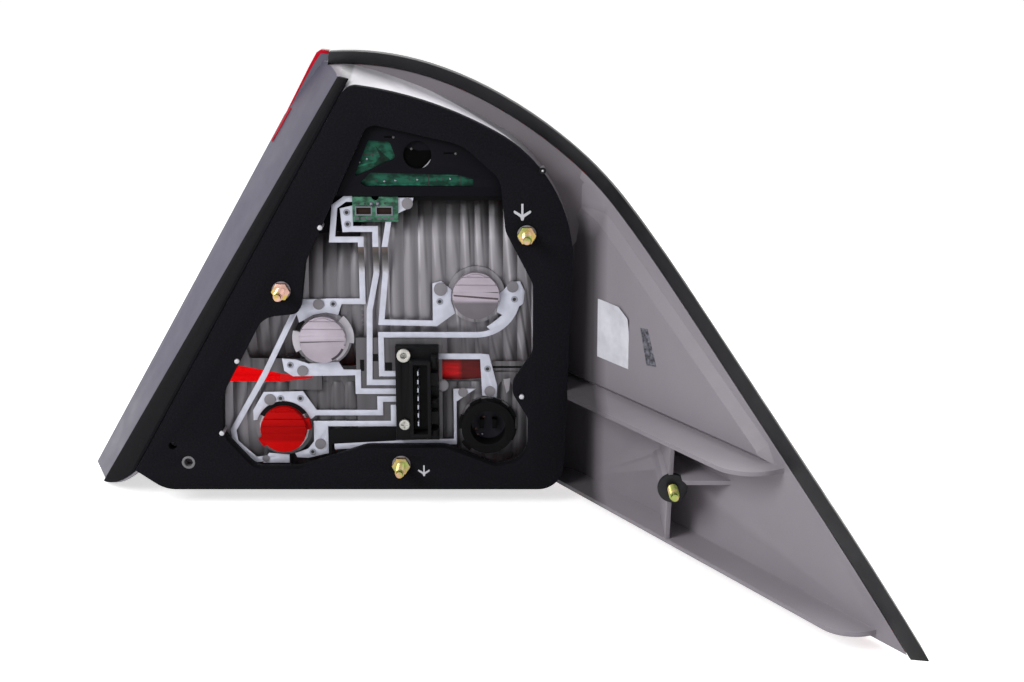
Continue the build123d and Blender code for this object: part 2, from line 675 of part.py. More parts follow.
def ground_strip():
    """Earth strip from the stop lamp past the reverse lamp to the tail lamp."""
    x = -23.0
    top, turn = LED_SILL - 2.1, LED_SILL - 27.4
    upper = ribbon(((-27.5, top), (-32, top), (-38.6, top - 4.7), (-40.6, turn), (x, turn), (x, JOG_TOP)))
    lower = ribbon(((x, JOG_BOTTOM), (x, 103.6), (-46, 103.6)))
    lower += polygon((-66, 101.5), (-60, 105), (-35, 105.4), (-38.5, 95), (-46, 96.5), (-54, 95), (-63, 90))
    lower += ribbon(((-63.5, 101), (-86, 55.9), (-107, 19.6), (-106, 11.5), (-93.5, -0.4), (-86, 0.6)))
    lower += polygon((-89, -2.4), (-85, 4.2), (-72, 3), (-72, -2.4))
    return strip(upper, UPPER_FRONT) + jog(x) + strip(lower)


def stop_feed_strip():
    """Feed of the stop lamp, from the connector up to the feed board."""
    x = -14.0
    turn = LED_SILL - 20.8
    upper = polygon((-35.4, turn + 12.8), (-27.5, turn + 14.6), (-27.5, turn - 1.7), (-34, turn - 2))
    upper += ribbon(((-33, turn), (x, turn), (x, JOG_TOP)))
    lower = ribbon(((x, JOG_BOTTOM), (-18.8, 98), (-19.8, 51), (STRIP_END, 51)))
    return strip(upper, UPPER_FRONT) + jog(x) + strip(lower)


def stop_return_strip():
    """Strip that ties the stop lamp to the turn lamp's earth."""
    x = -8.4
    top, half = LED_SILL - 1.4, STRIP_WIDTH / 2
    upper = polygon((-6.6, top - 9.6), (-4, top - 14.6), (x + half, JOG_TOP), (x - half, JOG_TOP))
    upper += polygon((-8, top - 11.6), (-1, top - 10.3), (8.6, top - 5.6), (9.8, top), (-8, top))
    lower = ribbon(((x, JOG_BOTTOM), (-11.6, 90.2), (22, 89.4)))
    lower += polygon((20.6, 115), (26, 116.5), (32.4, 111), (32, 104), (34.5, 96), (23, 87.6), (20.6, 87.6))
    return strip(upper, UPPER_FRONT) + jog(x) + strip(lower)


def turn_feed_strip():
    """Feed of the turn lamp, bent round its holder."""
    radius = TURN_PLACE[1] - 82.0
    bend = Circle(radius + STRIP_WIDTH / 2) - Circle(radius - STRIP_WIDTH / 2)
    quarter = Pos(FAR / 2, -FAR / 2) * Rectangle(FAR, FAR)
    sketch = Pos(*TURN_PLACE) * (bend & quarter)
    sketch += polygon((64, 110), (69, 115.7), (75, 116.5), (78, 110), (77, 102), (71, 98), (66, 102))
    sketch += ribbon(((TURN_PLACE[0], 82), (-12, 82), (-12, 56.7), (STRIP_END, 56.7)))
    return strip(sketch)


def reverse_feed_strip():
    """Feed of the reverse lamp."""
    sketch = polygon(
        (-74.6, 66.6), (-66, 66), (-58, 63.3), (-39, 64.5), (-36, 59.4),
        (-30, 59.4), (-30, 55.6), (-68, 55), (-73.4, 58.6),
    )
    sketch += ribbon(((-32, 57.5), (-27, 57.5), (-27, 45.2), (STRIP_END, 45.2)))
    return strip(sketch)


def tail_feed_strip():
    """Feed of the tail lamp's first filament, with a pad that clears the holder."""
    pad = polygon((-94, 26), (-94, 32.6), (-87, 44.6), (-62, 45.2), (-52.5, 31), (-57, 27))
    sketch = pad - Pos(*TAIL_PLACE) * Circle(PLUG_RADIUS + NECK_WALL)
    sketch += ribbon(((-55, 31), (-13.4, 31), (-13.4, 40), (STRIP_END, 40)))
    return strip(sketch)


def rear_fog_feed_strip():
    """Feed of the tail lamp's second filament."""
    sketch = polygon(
        (-56, 25.5), (-46.8, 25.5), (-46.8, 4), (-60, 0.8), (-67, 1.2), (-68.5, 4), (-60, 7), (-56, 12)
    )
    sketch += ribbon(((-48, 23.7), (-5, 23.7), (-5, 36.2)))
    return strip(sketch)


def fog_feed_strip():
    """Feed of the fog lamp, from the outboard side of the connector."""
    sketch = polygon((49.8, 69.8), (55.5, 69.2), (60.6, 49), (60.2, 41), (51.2, 42.4))
    sketch += ribbon(((20, 68), (51, 68)))
    return strip(sketch)


def earth_link_strip():
    """Earth link of the fog lamp along the lower edge of the window."""
    sketch = polygon((33, 46.8), (47, 46.8), (38, 40.6), (35.4, 38.6), (33, 38.6))
    sketch += ribbon(((34, 42), (34, 12.4)), STRIP_WIDTH / 2)
    sketch += ribbon(((34.9, 11.8), (10, 11.2), (-43, 8.4)))
    return strip(sketch)


def circuit_rivets():
    """Hollow rivets that hold the contact springs to the strips."""
    levels = [(place, CIRCUIT_FRONT) for place in RIVETS] + [(place, UPPER_FRONT) for place in UPPER_RIVETS]
    return [tube(place, RIVET_RADIUS, RIVET_BORE, seat - RIVET_THICK, seat) for place, seat in levels]


def ribbed_cap(place):
    """Turned cap with grip steps across its upper half, and its plug."""
    x, z = place
    cap = disc(place, CAP_RADIUS, CAP_FRONT + 2.2, CIRCUIT_BACK)
    face = Pos(x, z) * Circle(CAP_RADIUS)
    for index, top in enumerate((12.0, 7.0, 2.0)):
        step = Pos(x, z + top - 2.1) * Rectangle(2 * CAP_RADIUS, 4.2)
        cap += slab(face & step, CAP_FRONT + 0.5 * index, CAP_FRONT + 2.2)
    low = Pos(x, z - CAP_RADIUS / 2 - 3.4) * Rectangle(2 * CAP_RADIUS, CAP_RADIUS)
    cap += slab(face & low, CAP_FRONT + 1, CAP_FRONT + 2.2)
    return cap + disc(place, PLUG_RADIUS, CIRCUIT_BACK, CIRCUIT_BACK + PLUG_LENGTH)


def lug(place, angle, width):
    """Bayonet lug beside a cap, at an angle from X."""
    bar = Pos(CAP_RADIUS, 0) * Rectangle(5.6, width)
    return slab(Pos(*place) * (Rot(0, 0, angle) * bar), CAP_FRONT + 3.2, CIRCUIT_BACK - CLEARANCE)


def tail_holder():
    """Twist-in holder of the tail bulb, with two lugs."""
    return ribbed_cap(TAIL_PLACE) + lug(TAIL_PLACE, 12, 7) + lug(TAIL_PLACE, 212, 6)


def fog_socket():
    """Open-backed socket of the fog bulb."""
    front, floor = FOG_SOCKET_FRONT, CIRCUIT_BACK + PLUG_LENGTH
    body = disc(FOG_PLACE, FOG_SOCKET_RADIUS, front, CIRCUIT_BACK)
    body += disc(FOG_PLACE, PLUG_RADIUS, CIRCUIT_BACK, floor)
    for angle in (0, 118, 232):
        body += lug(FOG_PLACE, angle, 8)
    return body - disc(FOG_PLACE, FOG_RECESS_RADIUS, front, floor - WALL)


def fog_contacts():
    """Two contact tabs on the floor of the fog socket."""
    floor = CIRCUIT_BACK + PLUG_LENGTH - WALL
    tabs = []
    for side in (-1, 1):
        x = FOG_PLACE[0] + side * 4
        tabs.append(block((x - 1.5, x + 1.5, FOG_PLACE[1] - 3, FOG_PLACE[1] + 3), floor - 5, floor))
    return tabs


def bulb_base(place):
    """Metal cap of a bulb, seated on its holder."""
    front = CIRCUIT_BACK + PLUG_LENGTH
    return disc(place, BULB_BASE_RADIUS, front, front + BULB_BASE_LENGTH)


def bulb_glass(place):
    """Round envelope with a short stem."""
    front = CIRCUIT_BACK + PLUG_LENGTH + BULB_BASE_LENGTH
    stem = disc(place, BULB_BASE_RADIUS * 0.8, front, front + BULB_RADIUS)
    return stem + Pos(place[0], front + BULB_RADIUS, place[1]) * Sphere(BULB_RADIUS)


def connector_body():
    """Base over the strip ends, with the socket for the harness plug."""
    base = block(CONNECTOR, CIRCUIT_FRONT - CONNECTOR_BASE, CIRCUIT_FRONT)
    shroud = block(SHROUD, SHROUD_FRONT, CIRCUIT_FRONT - CONNECTOR_BASE)
    left, right, low, high = SHROUD
    cavity = (left + SHROUD_WALL, right - SHROUD_WALL, low + SHROUD_WALL, high - SHROUD_WALL)
    body = base + shroud - block(cavity, SHROUD_FRONT, CIRCUIT_FRONT - CONNECTOR_BASE)
    for level in (low + 12, high - 12):
        rib = (right, CONNECTOR[1], level - 4, level + 4)
        body += block(rib, SHROUD_FRONT + 3, CIRCUIT_FRONT - CONNECTOR_BASE)
    for screw in CONNECTOR_SCREWS:
        body -= disc(screw, SCREW_RADIUS, 0, CIRCUIT_FRONT)
    return body


def connector_blades():
    """Row of flat pins in the socket."""
    width, height = BLADE_SIZE
    blades = []
    for index in range(BLADE_COUNT):
        z = BLADE_TOP - index * BLADE_PITCH
        limits = (BLADE_X - width / 2, BLADE_X + width / 2, z - height / 2, z + height / 2)
        blades.append(block(limits, SHROUD_FRONT + 2, CIRCUIT_FRONT - CONNECTOR_BASE))
    return blades


def connector_screws():
    """Pan-head screws that hold the connector to the tongue."""
    seat = CIRCUIT_FRONT - CONNECTOR_BASE
    screws = []
    for place in CONNECTOR_SCREWS:
        head = disc(place, SCREW_HEAD_RADIUS, seat - SCREW_HEAD, seat)
        shank = disc(place, SCREW_RADIUS, seat, CIRCUIT_BACK + TONGUE_THICK)
        slots = Rectangle(4.4, 0.9) + Rectangle(0.9, 4.4)
        screws.append(head + shank - slab(Pos(*place) * slots, seat - SCREW_HEAD, seat - SCREW_HEAD / 2))
    return screws


def cover_place(across, up):
    """Place on the stop lamp's cover, in shares of its height from the middle of its sill."""
    return (LED_MIDDLE + across * COVER_HEIGHT, LED_SILL + up * COVER_HEIGHT)


def cover_window(*corners):
    """Window in the stop lamp's cover, with rounded corners."""
    return rounded([(*cover_place(across, up), radius) for across, up, radius in corners])


def led_cover():
    """Cover of the stop lamp, with two windows and a round hole over its board."""
    cover = offset(window_outline(), -CLEARANCE) & above(LED_SILL)
    cover -= cover_window((-0.49, 0.76, 2), (-0.2, 0.74, 2.5), (-0.12, 0.52, 2.5), (-0.69, 0.26, 1))
    cover -= cover_window(
        (-0.61, 0.18, 1), (-0.47, 0.32, 2), (0.72, 0.29, 1.5),
        (0.92, 0.23, 1), (0.93, 0.13, 1), (-0.53, 0.13, 1),
    )
    cover -= Pos(*cover_place(*LED_PORT)) * Circle(LED_PORT_SHARE * COVER_HEIGHT)
    return slab(cover, GASKET_DEPTH - LED_COVER_THICK, GASKET_DEPTH)


def led_board():
    """Circuit board behind the cover."""
    outline = offset(window_outline(), -LED_LEDGE - CLEARANCE) & above(LED_SILL)
    return slab(outline, GASKET_DEPTH, GASKET_DEPTH + BOARD_THICK)


def stop_leds():
    """Domed lamps of the stop light, in rows on the rear of the board."""
    leds = []
    front = GASKET_DEPTH + BOARD_THICK
    area = offset(window_outline(), -LED_LEDGE - 2 * LED_RADIUS)
    for row, share in enumerate(LED_ROWS):
        for index in range(-3, 5):
            place = (LED_MIDDLE + index * LED_PITCH - row * 3, LED_SILL + share * COVER_HEIGHT)
            if (area & (Pos(*place) * Circle(LED_RADIUS))).area > 0.99 * math.pi * LED_RADIUS ** 2:
                body = disc(place, LED_RADIUS, front, front + LED_HEIGHT)
                leds.append(body + Pos(place[0], front + LED_HEIGHT, place[1]) * Sphere(LED_RADIUS))
    return leds


def led_feed_board():
    """Small board over the ends of the stop lamp strips, with two contact windows."""
    left, right, low, high = FEED_BOARD
    middle = (left + right) / 2
    outline = Pos(middle, (low + high) / 2) * Rectangle(right - left, high - low)
    outline -= Pos(middle, high) * Circle(2.2)
    for x in (middle - 7.2, middle + 5.4):
        outline -= Pos(x, (low + high) / 2 - 1) * Rectangle(9, 4.2)
    return slab(outline, UPPER_FRONT - BOARD_THICK, UPPER_FRONT)


def stud(place, seat):
    """Threaded stud with a hexagon collar and a dog point."""
    hexagon = RegularPolygon(HEX_ACROSS / 2, 6, major_radius=False)
    collar = slab(Pos(*place) * hexagon, seat - HEX_THICK, seat)
    tip = seat - HEX_THICK - STUD_REACH
    shank = disc(place, STUD_RADIUS, tip + STUD_POINT, seat - HEX_THICK)
    point = disc(place, STUD_POINT_RADIUS, tip, tip + STUD_POINT)
    return collar + shank + point + disc(place, STUD_ROOT_RADIUS, seat, seat + FLANGE_BACK)


def wing_stud():
    """Plain stud on the wing, screwed into its boss."""
    seat = WING_BOSS_FRONT - WASHER_THICK
    tip = seat - STUD_REACH
    shank = disc(STUD_WING, STUD_RADIUS, tip + STUD_POINT, seat)
    root = disc(STUD_WING, STUD_ROOT_RADIUS, seat, WING_BOSS_FRONT + WING_STUD_ROOT)
    return shank + root + disc(STUD_WING, STUD_POINT_RADIUS, tip, tip + STUD_POINT)


def wing_washer():
    """Rubber washer round the wing stud."""
    return tube(STUD_WING, WASHER_RADIUS, STUD_ROOT_RADIUS, WING_BOSS_FRONT - WASHER_THICK, WING_BOSS_FRONT)


whole_lens = lens()
band = slab(clear_band(), -FAR / 20, BUCKET_DEPTH)
pieces = {
    "housing": housing(),
    "lens_red": whole_lens - band,
    "lens_clear": whole_lens & band,
    "gasket": gasket(),
    "inboard_foam_strip": inboard_foam_strip(),
    "edge_seal": edge_seal(),
    "locating_bush": locating_bush(),
    "reflector_upper": reflector_upper(),
    "reflector_lower": reflector_lower(),
    "ground_strip": ground_strip(),
    "stop_feed_strip": stop_feed_strip(),
    "stop_return_strip": stop_return_strip(),
    "turn_feed_strip": turn_feed_strip(),
    "reverse_feed_strip": reverse_feed_strip(),
    "tail_feed_strip": tail_feed_strip(),
    "rear_fog_feed_strip": rear_fog_feed_strip(),
    "fog_feed_strip": fog_feed_strip(),
    "earth_link_strip": earth_link_strip(),
    "circuit_rivets": circuit_rivets(),
    "turn_holder": ribbed_cap(TURN_PLACE),
    "reverse_holder": ribbed_cap(REVERSE_PLACE),
    "tail_holder": tail_holder(),
    "fog_socket": fog_socket(),
    "fog_contacts": fog_contacts(),
    "connector_body": connector_body(),
    "connector_blades": connector_blades(),
    "connector_screws": connector_screws(),
    "led_cover": led_cover(),
    "led_board": led_board(),
    "stop_leds": stop_leds(),
    "led_feed_board": led_feed_board(),
    "stud_lower": stud(STUD_LOWER, 0),
    "stud_inboard": stud(STUD_INBOARD, 0),
    "stud_upper": stud(STUD_UPPER, 0),
    "wing_stud": wing_stud(),
    "wing_washer": wing_washer(),
}
bulbs = {"turn": TURN_PLACE, "reverse": REVERSE_PLACE, "tail": TAIL_PLACE, "fog": FOG_PLACE}
for name, place in bulbs.items():
    pieces[f"{name}_bulb_base"] = bulb_base(place)
    pieces[f"{name}_bulb_glass"] = bulb_glass(place)

for name, piece in pieces.items():
    shape = Compound(children=[*piece]) if isinstance(piece, list) else piece
    export_step(shape, f"parts/{name}.step")
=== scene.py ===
"""Tail light cluster: finishes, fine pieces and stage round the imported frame."""

import math

import bpy
from bpy.props import FloatProperty, FloatVectorProperty, IntProperty, PointerProperty
from bpy.types import Operator, Panel, PropertyGroup
from mathutils import Matrix, Vector


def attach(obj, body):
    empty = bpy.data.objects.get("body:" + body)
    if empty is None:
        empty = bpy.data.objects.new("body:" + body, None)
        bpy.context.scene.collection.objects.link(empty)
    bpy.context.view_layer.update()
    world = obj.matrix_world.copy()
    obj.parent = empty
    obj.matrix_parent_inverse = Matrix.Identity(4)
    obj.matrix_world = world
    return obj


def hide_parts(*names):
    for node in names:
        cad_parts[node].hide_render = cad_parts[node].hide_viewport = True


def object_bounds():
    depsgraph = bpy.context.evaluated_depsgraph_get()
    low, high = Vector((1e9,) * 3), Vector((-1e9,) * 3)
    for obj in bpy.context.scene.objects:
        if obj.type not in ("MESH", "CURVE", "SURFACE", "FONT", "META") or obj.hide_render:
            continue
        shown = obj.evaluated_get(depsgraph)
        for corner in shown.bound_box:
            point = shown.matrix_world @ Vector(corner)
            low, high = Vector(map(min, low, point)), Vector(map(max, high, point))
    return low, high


bl_info = {
    "name": "Tail Light Cluster",
    "version": (1, 1, 0),
    "blender": (4, 5, 0),
    "location": "3D View > Sidebar > Tail Light",
    "description": "Dresses a packed tail light with finishes, fine pieces and a stage",
    "category": "Object",
}

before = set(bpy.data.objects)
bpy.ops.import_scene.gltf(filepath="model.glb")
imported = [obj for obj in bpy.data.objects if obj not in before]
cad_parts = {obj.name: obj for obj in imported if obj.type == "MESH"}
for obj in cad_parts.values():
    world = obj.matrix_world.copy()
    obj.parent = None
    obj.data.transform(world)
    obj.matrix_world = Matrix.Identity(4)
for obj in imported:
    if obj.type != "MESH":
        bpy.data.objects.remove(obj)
CAD_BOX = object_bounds()
MM = 0.001

# Places in front view, x and z in millimetres, as the frame has them
STUDS = {"stud_lower": (0.0, 0.0), "stud_inboard": (-72.0, 113.0), "stud_upper": (79.0, 148.0)}
WING_STUD = (162.0, 20.0)
PINS = ((-47.0, 152.5), (-101.0, 68.0), (-112.5, 21.0), (76.0, 45.0), (88.5, 187.5))
LOW_RIVETS = (
    (-41.4, 102.0), (-69.5, 62.5), (-76.3, 40.6), (-63.8, 40.6), (-57.0, 5.0), (25.0, 103.5), (71.5, 105.0),
    (54.6, 60.0),
)
HIGH_RIVETS = ((-30.8, 153.3), (-31.2, 160.6))
CAPS = {"turn": (47.7, 108.0), "reverse": (-48.3, 79.8), "tail": (-74.6, 21.0)}
FOG_PLACE = (54.9, 23.5)
PORT_PLACE = (12.8, 198.6)
CONNECTOR_POST = (2.6, 71.8)

# Depths of fronts in millimetres: gasket and pins, caps, fog socket's floor, strips, boards and cover
GASKET_FRONT, PIN_FRONT = 0.0, -0.75
CAP_FRONT, FOG_FLOOR = 6.0, 16.3
LOW_STRIP, HIGH_STRIP = 11.0, 7.2
BOARD_FRONT, COVER_FRONT, FEED_FRONT = 8.0, 5.0, 5.6

# Depths of added plates in millimetres: behind the strips, behind the top of the window, in the gaps
BEHIND_STRIPS, BEHIND_TOP, BEHIND_GAPS = 11.6, 14.0, 20.0

# Flutes in metres: left end of each row and its step, and the top of the barrels
TURN_FLUTES = (-0.024, 0.115 / 13)
REVERSE_FLUTES = (-0.100, 0.078 / 9)
LOWER_FLUTES = (-0.116, 0.204 / 23)
BARREL_TOP = 0.170

# Heights in metres where the strips bend from one level to the other
BEND_LOW, BEND_HIGH = 0.1225, 0.1385

# Shank of a stud in millimetres
STUD_RADIUS = 3.0

# Plane of the wing: its angle in plan, the point that lengths along it start from, and its raised field
WING_ANGLE = math.radians(59.6)
WING_ALONG = Vector((math.cos(WING_ANGLE), -math.sin(WING_ANGLE), 0.0))
WING_ACROSS = Vector((math.sin(WING_ANGLE), math.cos(WING_ANGLE), 0.0))
WING_START = Vector((110.8, 40.0, 0.0)) + 137.0 * WING_ALONG
PAD_FACE = 8.5


def colour(name, value, description):
    """Colour property, in linear light."""
    return FloatVectorProperty(
        name=name, description=description, default=value, size=3, min=0.0, max=1.0, subtype="COLOR"
    )


def length(name, value, description):
    """Length property, stated in metres."""
    return FloatProperty(name=name, description=description, default=value, unit="LENGTH", precision=5)


def power(name, value, description):
    """Power property of a lamp."""
    return FloatProperty(name=name, description=description, default=value, unit="POWER")


def number(name, value, most, description):
    """Whole number property, from 1 up to a limit."""
    return IntProperty(name=name, description=description, default=value, min=1, max=most)


class LampFinishes(PropertyGroup):
    """Colours of the lamp's finishes."""

    housing: colour("Housing", (0.216, 0.197, 0.222), "Moulded grey plastic of bucket and wing")
    inboard: colour("Inboard wall", (0.092, 0.087, 0.120), "Darker face of the inboard wall")
    # Painted light: the top wall of the bucket is lighter for the light on it from above
    top_wall_painted_light: colour("Top wall", (0.40, 0.39, 0.42), "Bright top of the bucket")
    # Painted light: the shelf's upper faces are lighter for the light from above
    shelf: colour("Shelf", (0.270, 0.248, 0.276), "Upper faces of the wing's shelf and floor")
    # Painted shade: the skin beside the rim seal is darker for the shade it lies in
    skin: colour("Skin", (0.158, 0.143, 0.158), "Back of the skin beside the rim seal")
    foam: colour("Foam", (0.0050, 0.0049, 0.0068), "Closed-cell foam of the gasket")
    rubber: colour("Rubber", (0.0090, 0.0090, 0.0105), "Rubber of the rim seal and washer")
    black: colour("Black plastic", (0.0060, 0.0060, 0.0068), "Connector, socket and stop lamp cover")
    silver: colour("Reflector", (0.190, 0.180, 0.198), "Metallised reflector")
    tin: colour("Circuit", (0.47, 0.48, 0.565), "Tinned strips")
    red_lens: colour("Red lens", (0.54, 0.002, 0.003), "Red lens plastic")
    clear_lens: colour("Clear lens", (0.90, 0.91, 0.92), "Clear lens plastic")
    cap: colour("Holder", (0.37, 0.325, 0.38), "Metallised bulb holder")
    red_cap: colour("Tail holder", (0.39, 0.0012, 0.0016), "Red tail lamp holder")
    board: colour("Board", (0.0070, 0.051, 0.032), "Lacquer of the stop lamp board")
    feed: colour("Feed board", (0.032, 0.100, 0.064), "Lacquer of the feed board")
    zinc: colour("Stud", (0.46, 0.33, 0.085), "Yellow passivation of the studs")
    blush: colour("Stud blush", (0.50, 0.30, 0.25), "Pink patches of the passivation")
    moss: colour("Stud moss", (0.28, 0.33, 0.09), "Green patches of the passivation")
    steel: colour("Screws", (0.44, 0.43, 0.40), "Zinc-plated connector screws")
    brass: colour("Bulb base", (0.62, 0.52, 0.30), "Brass of the bulb bases")
    rust: colour("Contacts", (0.022, 0.013, 0.011), "Brown contacts behind the feed board")
    paper: colour("Label", (0.64, 0.64, 0.70), "Blank label on the wing")
    foil: colour("Foil", (0.105, 0.105, 0.125), "Blank foil plate on the wing")
    mark: colour("Mark", (0.52, 0.52, 0.56), "Direction marks on the gasket")
    lens_edge: colour("Lens edge", (0.36, 0.003, 0.016), "Edge of the lens along the inboard wall")
    lens_rim: colour("Lens rim", (0.42, 0.002, 0.014), "Rim of the lens at the top corner")
    # Painted light: the red that the gaps show for light through the lens, painted on plates
    gap_bright: colour("Gap, bright", (1.0, 0.006, 0.010), "Lit red in the right gap")
    gap_dark: colour("Gap, dark", (0.050, 0.002, 0.003), "Unlit red in the right gap")
    painted_sliver: colour("Sliver", (0.50, 0.003, 0.005), "Red below the reverse lamp's strip")
    # Painted shade: dark lines across the holders' caps, where their steps shade them
    turn_line_shade: colour("Grooves", (0.042, 0.026, 0.034), "Grooves of the turn holder")
    reverse_line_shade: colour("Pale grooves", (0.070, 0.055, 0.066), "Grooves of the reverse holder")
    tail_line_shade: colour("Red grooves", (0.25, 0.0012, 0.0016), "Grooves of the tail holder")
    cap_shade: colour("Cap shade", (0.055, 0.045, 0.058), "Shaded edge of the reverse holder")
    socket_floor: colour("Socket floor", (0.016, 0.015, 0.022), "Floor of the fog socket")
    contact_tip: colour("Contact tips", (0.050, 0.016, 0.014), "Brown tips of the fog contacts")
    port_rim: colour("Port rim", (0.26, 0.26, 0.28), "Lit rim of the stop lamp's port")
    cover_pin: colour("Cover pins", (0.05, 0.05, 0.052), "Pins of the stop lamp's cover")


class LampSizes(PropertyGroup):
    """Sizes of what is added to the frame."""

    edge: length("Moulded edge", 0.0006, "Rounding of moulded plastic edges")
    foam_edge: length("Foam edge", 0.0009, "Rounding of foam edges")
    seal_edge: length("Seal edge", 0.0022, "Rounding of the rim seal")
    flute_edge: length("Flute edge", 0.0014, "Rounding of the reflector flutes")
    strip_edge: length("Strip edge", 0.0002, "Rounding of stamped strips")
    stud_edge: length("Stud edge", 0.0004, "Chamfer of the stud collars")
    thread_pitch: length("Thread pitch", 0.001, "Pitch of the stud threads")
    thread_depth: length("Thread depth", 0.00055, "Depth of the stud threads")
    label_thick: length("Label", 0.0002, "Thickness of the label")
    rounding: number("Rounding steps", 2, 6, "Faces across a rounded edge")
    turns: number("Thread turns", 12, 20, "Turns of thread on each stud")


class LampStage(PropertyGroup):
    """Camera, lamps and floor."""

    camera_place: FloatVectorProperty(
        name="Camera", description="Place of the camera", subtype="TRANSLATION",
        default=(0.070, -1.0181, 0.3538),
    )
    camera_tilt: FloatProperty(
        name="Tilt", description="Camera turned up from straight down", subtype="ANGLE",
        default=math.radians(75.0),
    )
    lens_mm: FloatProperty(name="Focal length", description="Camera lens in millimetres", default=59.77)
    sky: FloatProperty(name="Sky", description="Strength of the even light all round", default=0.45)
    key: power("Key lamp", 19.0, "Power of the lamp at the left")
    fill: power("Fill lamp", 4.0, "Power of the lamp at the right")
    top: power("Top lamp", 14.0, "Power of the lamp above the lens")
    floor_glow: FloatProperty(name="Floor glow", description="Light of the floor as seen", default=0.62)


def finishes():
    return bpy.context.scene.lamp_finishes


def sizes():
    return bpy.context.scene.lamp_sizes


class Nodes:
    """Node tree of a finish or of the sky."""

    def __init__(self, owner):
        owner.use_nodes = True
        self.nodes = owner.node_tree.nodes
        self.links = owner.node_tree.links

    def add(self, kind, output, inputs, **settings):
        """Output of a new node, whose inputs are linked to other outputs or set to values."""
        node = self.nodes.new("ShaderNode" + kind)
        for name, value in settings.items():
            setattr(node, name, value)
        for name, value in inputs.items():
            if isinstance(value, bpy.types.NodeSocket):
                self.links.new(value, node.inputs[name])
            else:
                node.inputs[name].default_value = value
        return node.outputs[output]

    def math(self, operation, *values):
        return self.add("Math", 0, dict(enumerate(values)), operation=operation)

    def shown_ray(self):
        """Factor that is 1 for rays that show the background as it is."""
        path = self.nodes.new("ShaderNodeLightPath").outputs
        seen = self.math("MAXIMUM", path["Is Camera Ray"], path["Is Glossy Ray"])
        return self.math("MAXIMUM", seen, path["Is Transmission Ray"])


class Tree(Nodes):
    """Node tree of one finish, with its shader and its object coordinates."""

    def __init__(self, name):
        self.material = bpy.data.materials.new(name)
        super().__init__(self.material)
        self.shader = self.nodes["Principled BSDF"]
        self.place = self.nodes.new("ShaderNodeTexCoord").outputs["Object"]

    def set(self, **values):
        for key, value in values.items():
            self.shader.inputs[key.replace("_", " ")].default_value = value

    def into(self, socket, output):
        self.links.new(output, self.shader.inputs[socket])

    def noise(self, scale, detail=3.0, stretch=None, rough=0.5):
        place = self.place
        if stretch:
            place = self.add("Mapping", "Vector", {"Vector": place, "Scale": stretch})
        inputs = {"Vector": place, "Scale": scale, "Detail": detail, "Roughness": rough}
        return self.add("TexNoise", "Fac", inputs)

    def cells(self, scale):
        return self.add("TexVoronoi", "Distance", {"Vector": self.place, "Scale": scale})

    def axis(self, letter):
        return self.add("SeparateXYZ", letter, {0: self.place})

    def span(self, factor, low, high, start=0.3, end=0.7):
        limits = {"From Min": start, "From Max": end, "To Min": low, "To Max": high}
        return self.add("MapRange", "Result", {"Value": factor, **limits})

    def fade(self, letter, low, high, start, end):
        """Level that runs from one value to another between two places on an axis."""
        return self.span(self.axis(letter), low, high, start, end)

    def times(self, product, *others):
        for other in others:
            product = self.math("MULTIPLY", product, other)
        return product

    def apart(self, value, middle):
        return self.math("ABSOLUTE", self.math("SUBTRACT", value, middle))

    def stops(self, factor, places, shades):
        """Colours at places along the factor."""
        output = self.add("ValToRGB", "Color", {"Fac": factor})
        elements = output.node.color_ramp.elements
        while len(elements) < len(shades):
            elements.new(0.5)
        for element, place, shade in zip(elements, places, shades):
            element.position = place
            element.color = (*shade, 1.0)
        return output

    def ramp(self, factor, low, high, start=0.3, end=0.7):
        return self.stops(factor, (start, end), (low, high))

    def bands(self, factor, start, end, shades):
        """Colours spread evenly over a span of the factor."""
        places = [index / (len(shades) - 1) for index in range(len(shades))]
        return self.stops(self.span(factor, 0.0, 1.0, start, end), places, shades)

    def blend(self, factor, first, second, kind="MIX"):
        inputs = {0: factor, 1: first, 2: second}
        for name, value in inputs.items():
            if isinstance(value, tuple):
                inputs[name] = (*value, 1.0)
        return self.add("MixRGB", "Color", inputs, blend_type=kind)

    def toned(self, shade, painted_tone):
        return self.blend(1.0, shade, painted_tone, "MULTIPLY")

    def bump(self, height, strength, distance):
        inputs = {"Height": height, "Strength": strength, "Distance": distance}
        normal = self.shader.inputs["Normal"]
        if normal.is_linked:
            inputs["Normal"] = normal.links[0].from_socket
        self.into("Normal", self.add("Bump", "Normal", inputs))


def tinted(shade, share):
    """Colour made lighter or darker by a share."""
    return tuple(max(0.0, min(1.0, c * share)) for c in shade)


def moulded_plastic(name, shade, roughness, grain=0.12, spread=0.05, gloss=0.5, painted_tone=None):
    """Plastic with a fine spark grain and faint flow marks, and painted light and shade over it where given.
    """
    tree = Tree(name)
    flow = tree.noise(14.0, 4.0, stretch=(1.0, 1.0, 0.35))
    marked = tree.ramp(flow, tinted(shade, 1 - spread), tinted(shade, 1 + spread))
    tree.into("Base Color", tree.toned(marked, painted_tone(tree)) if painted_tone else marked)
    tree.into("Roughness", tree.span(tree.noise(60.0, 3.0), roughness - 0.05, roughness + 0.06))
    tree.set(Specular_IOR_Level=gloss)
    tree.bump(tree.noise(2600.0, 2.0), grain, 0.0001)
    return tree.material


def closed_foam(name, shade):
    """Closed-cell foam: fine open pores and pale dust."""
    tree = Tree(name)
    dust = tree.noise(900.0, 4.0, rough=0.7)
    tree.into("Base Color", tree.ramp(dust, tinted(shade, 0.8), tinted(shade, 1.8), 0.42, 0.74))
    tree.set(Roughness=0.85, Specular_IOR_Level=0.07)
    tree.bump(tree.cells(1400.0), 0.35, 0.00025)
    tree.bump(tree.noise(90.0, 3.0), 0.12, 0.0006)
    return tree.material


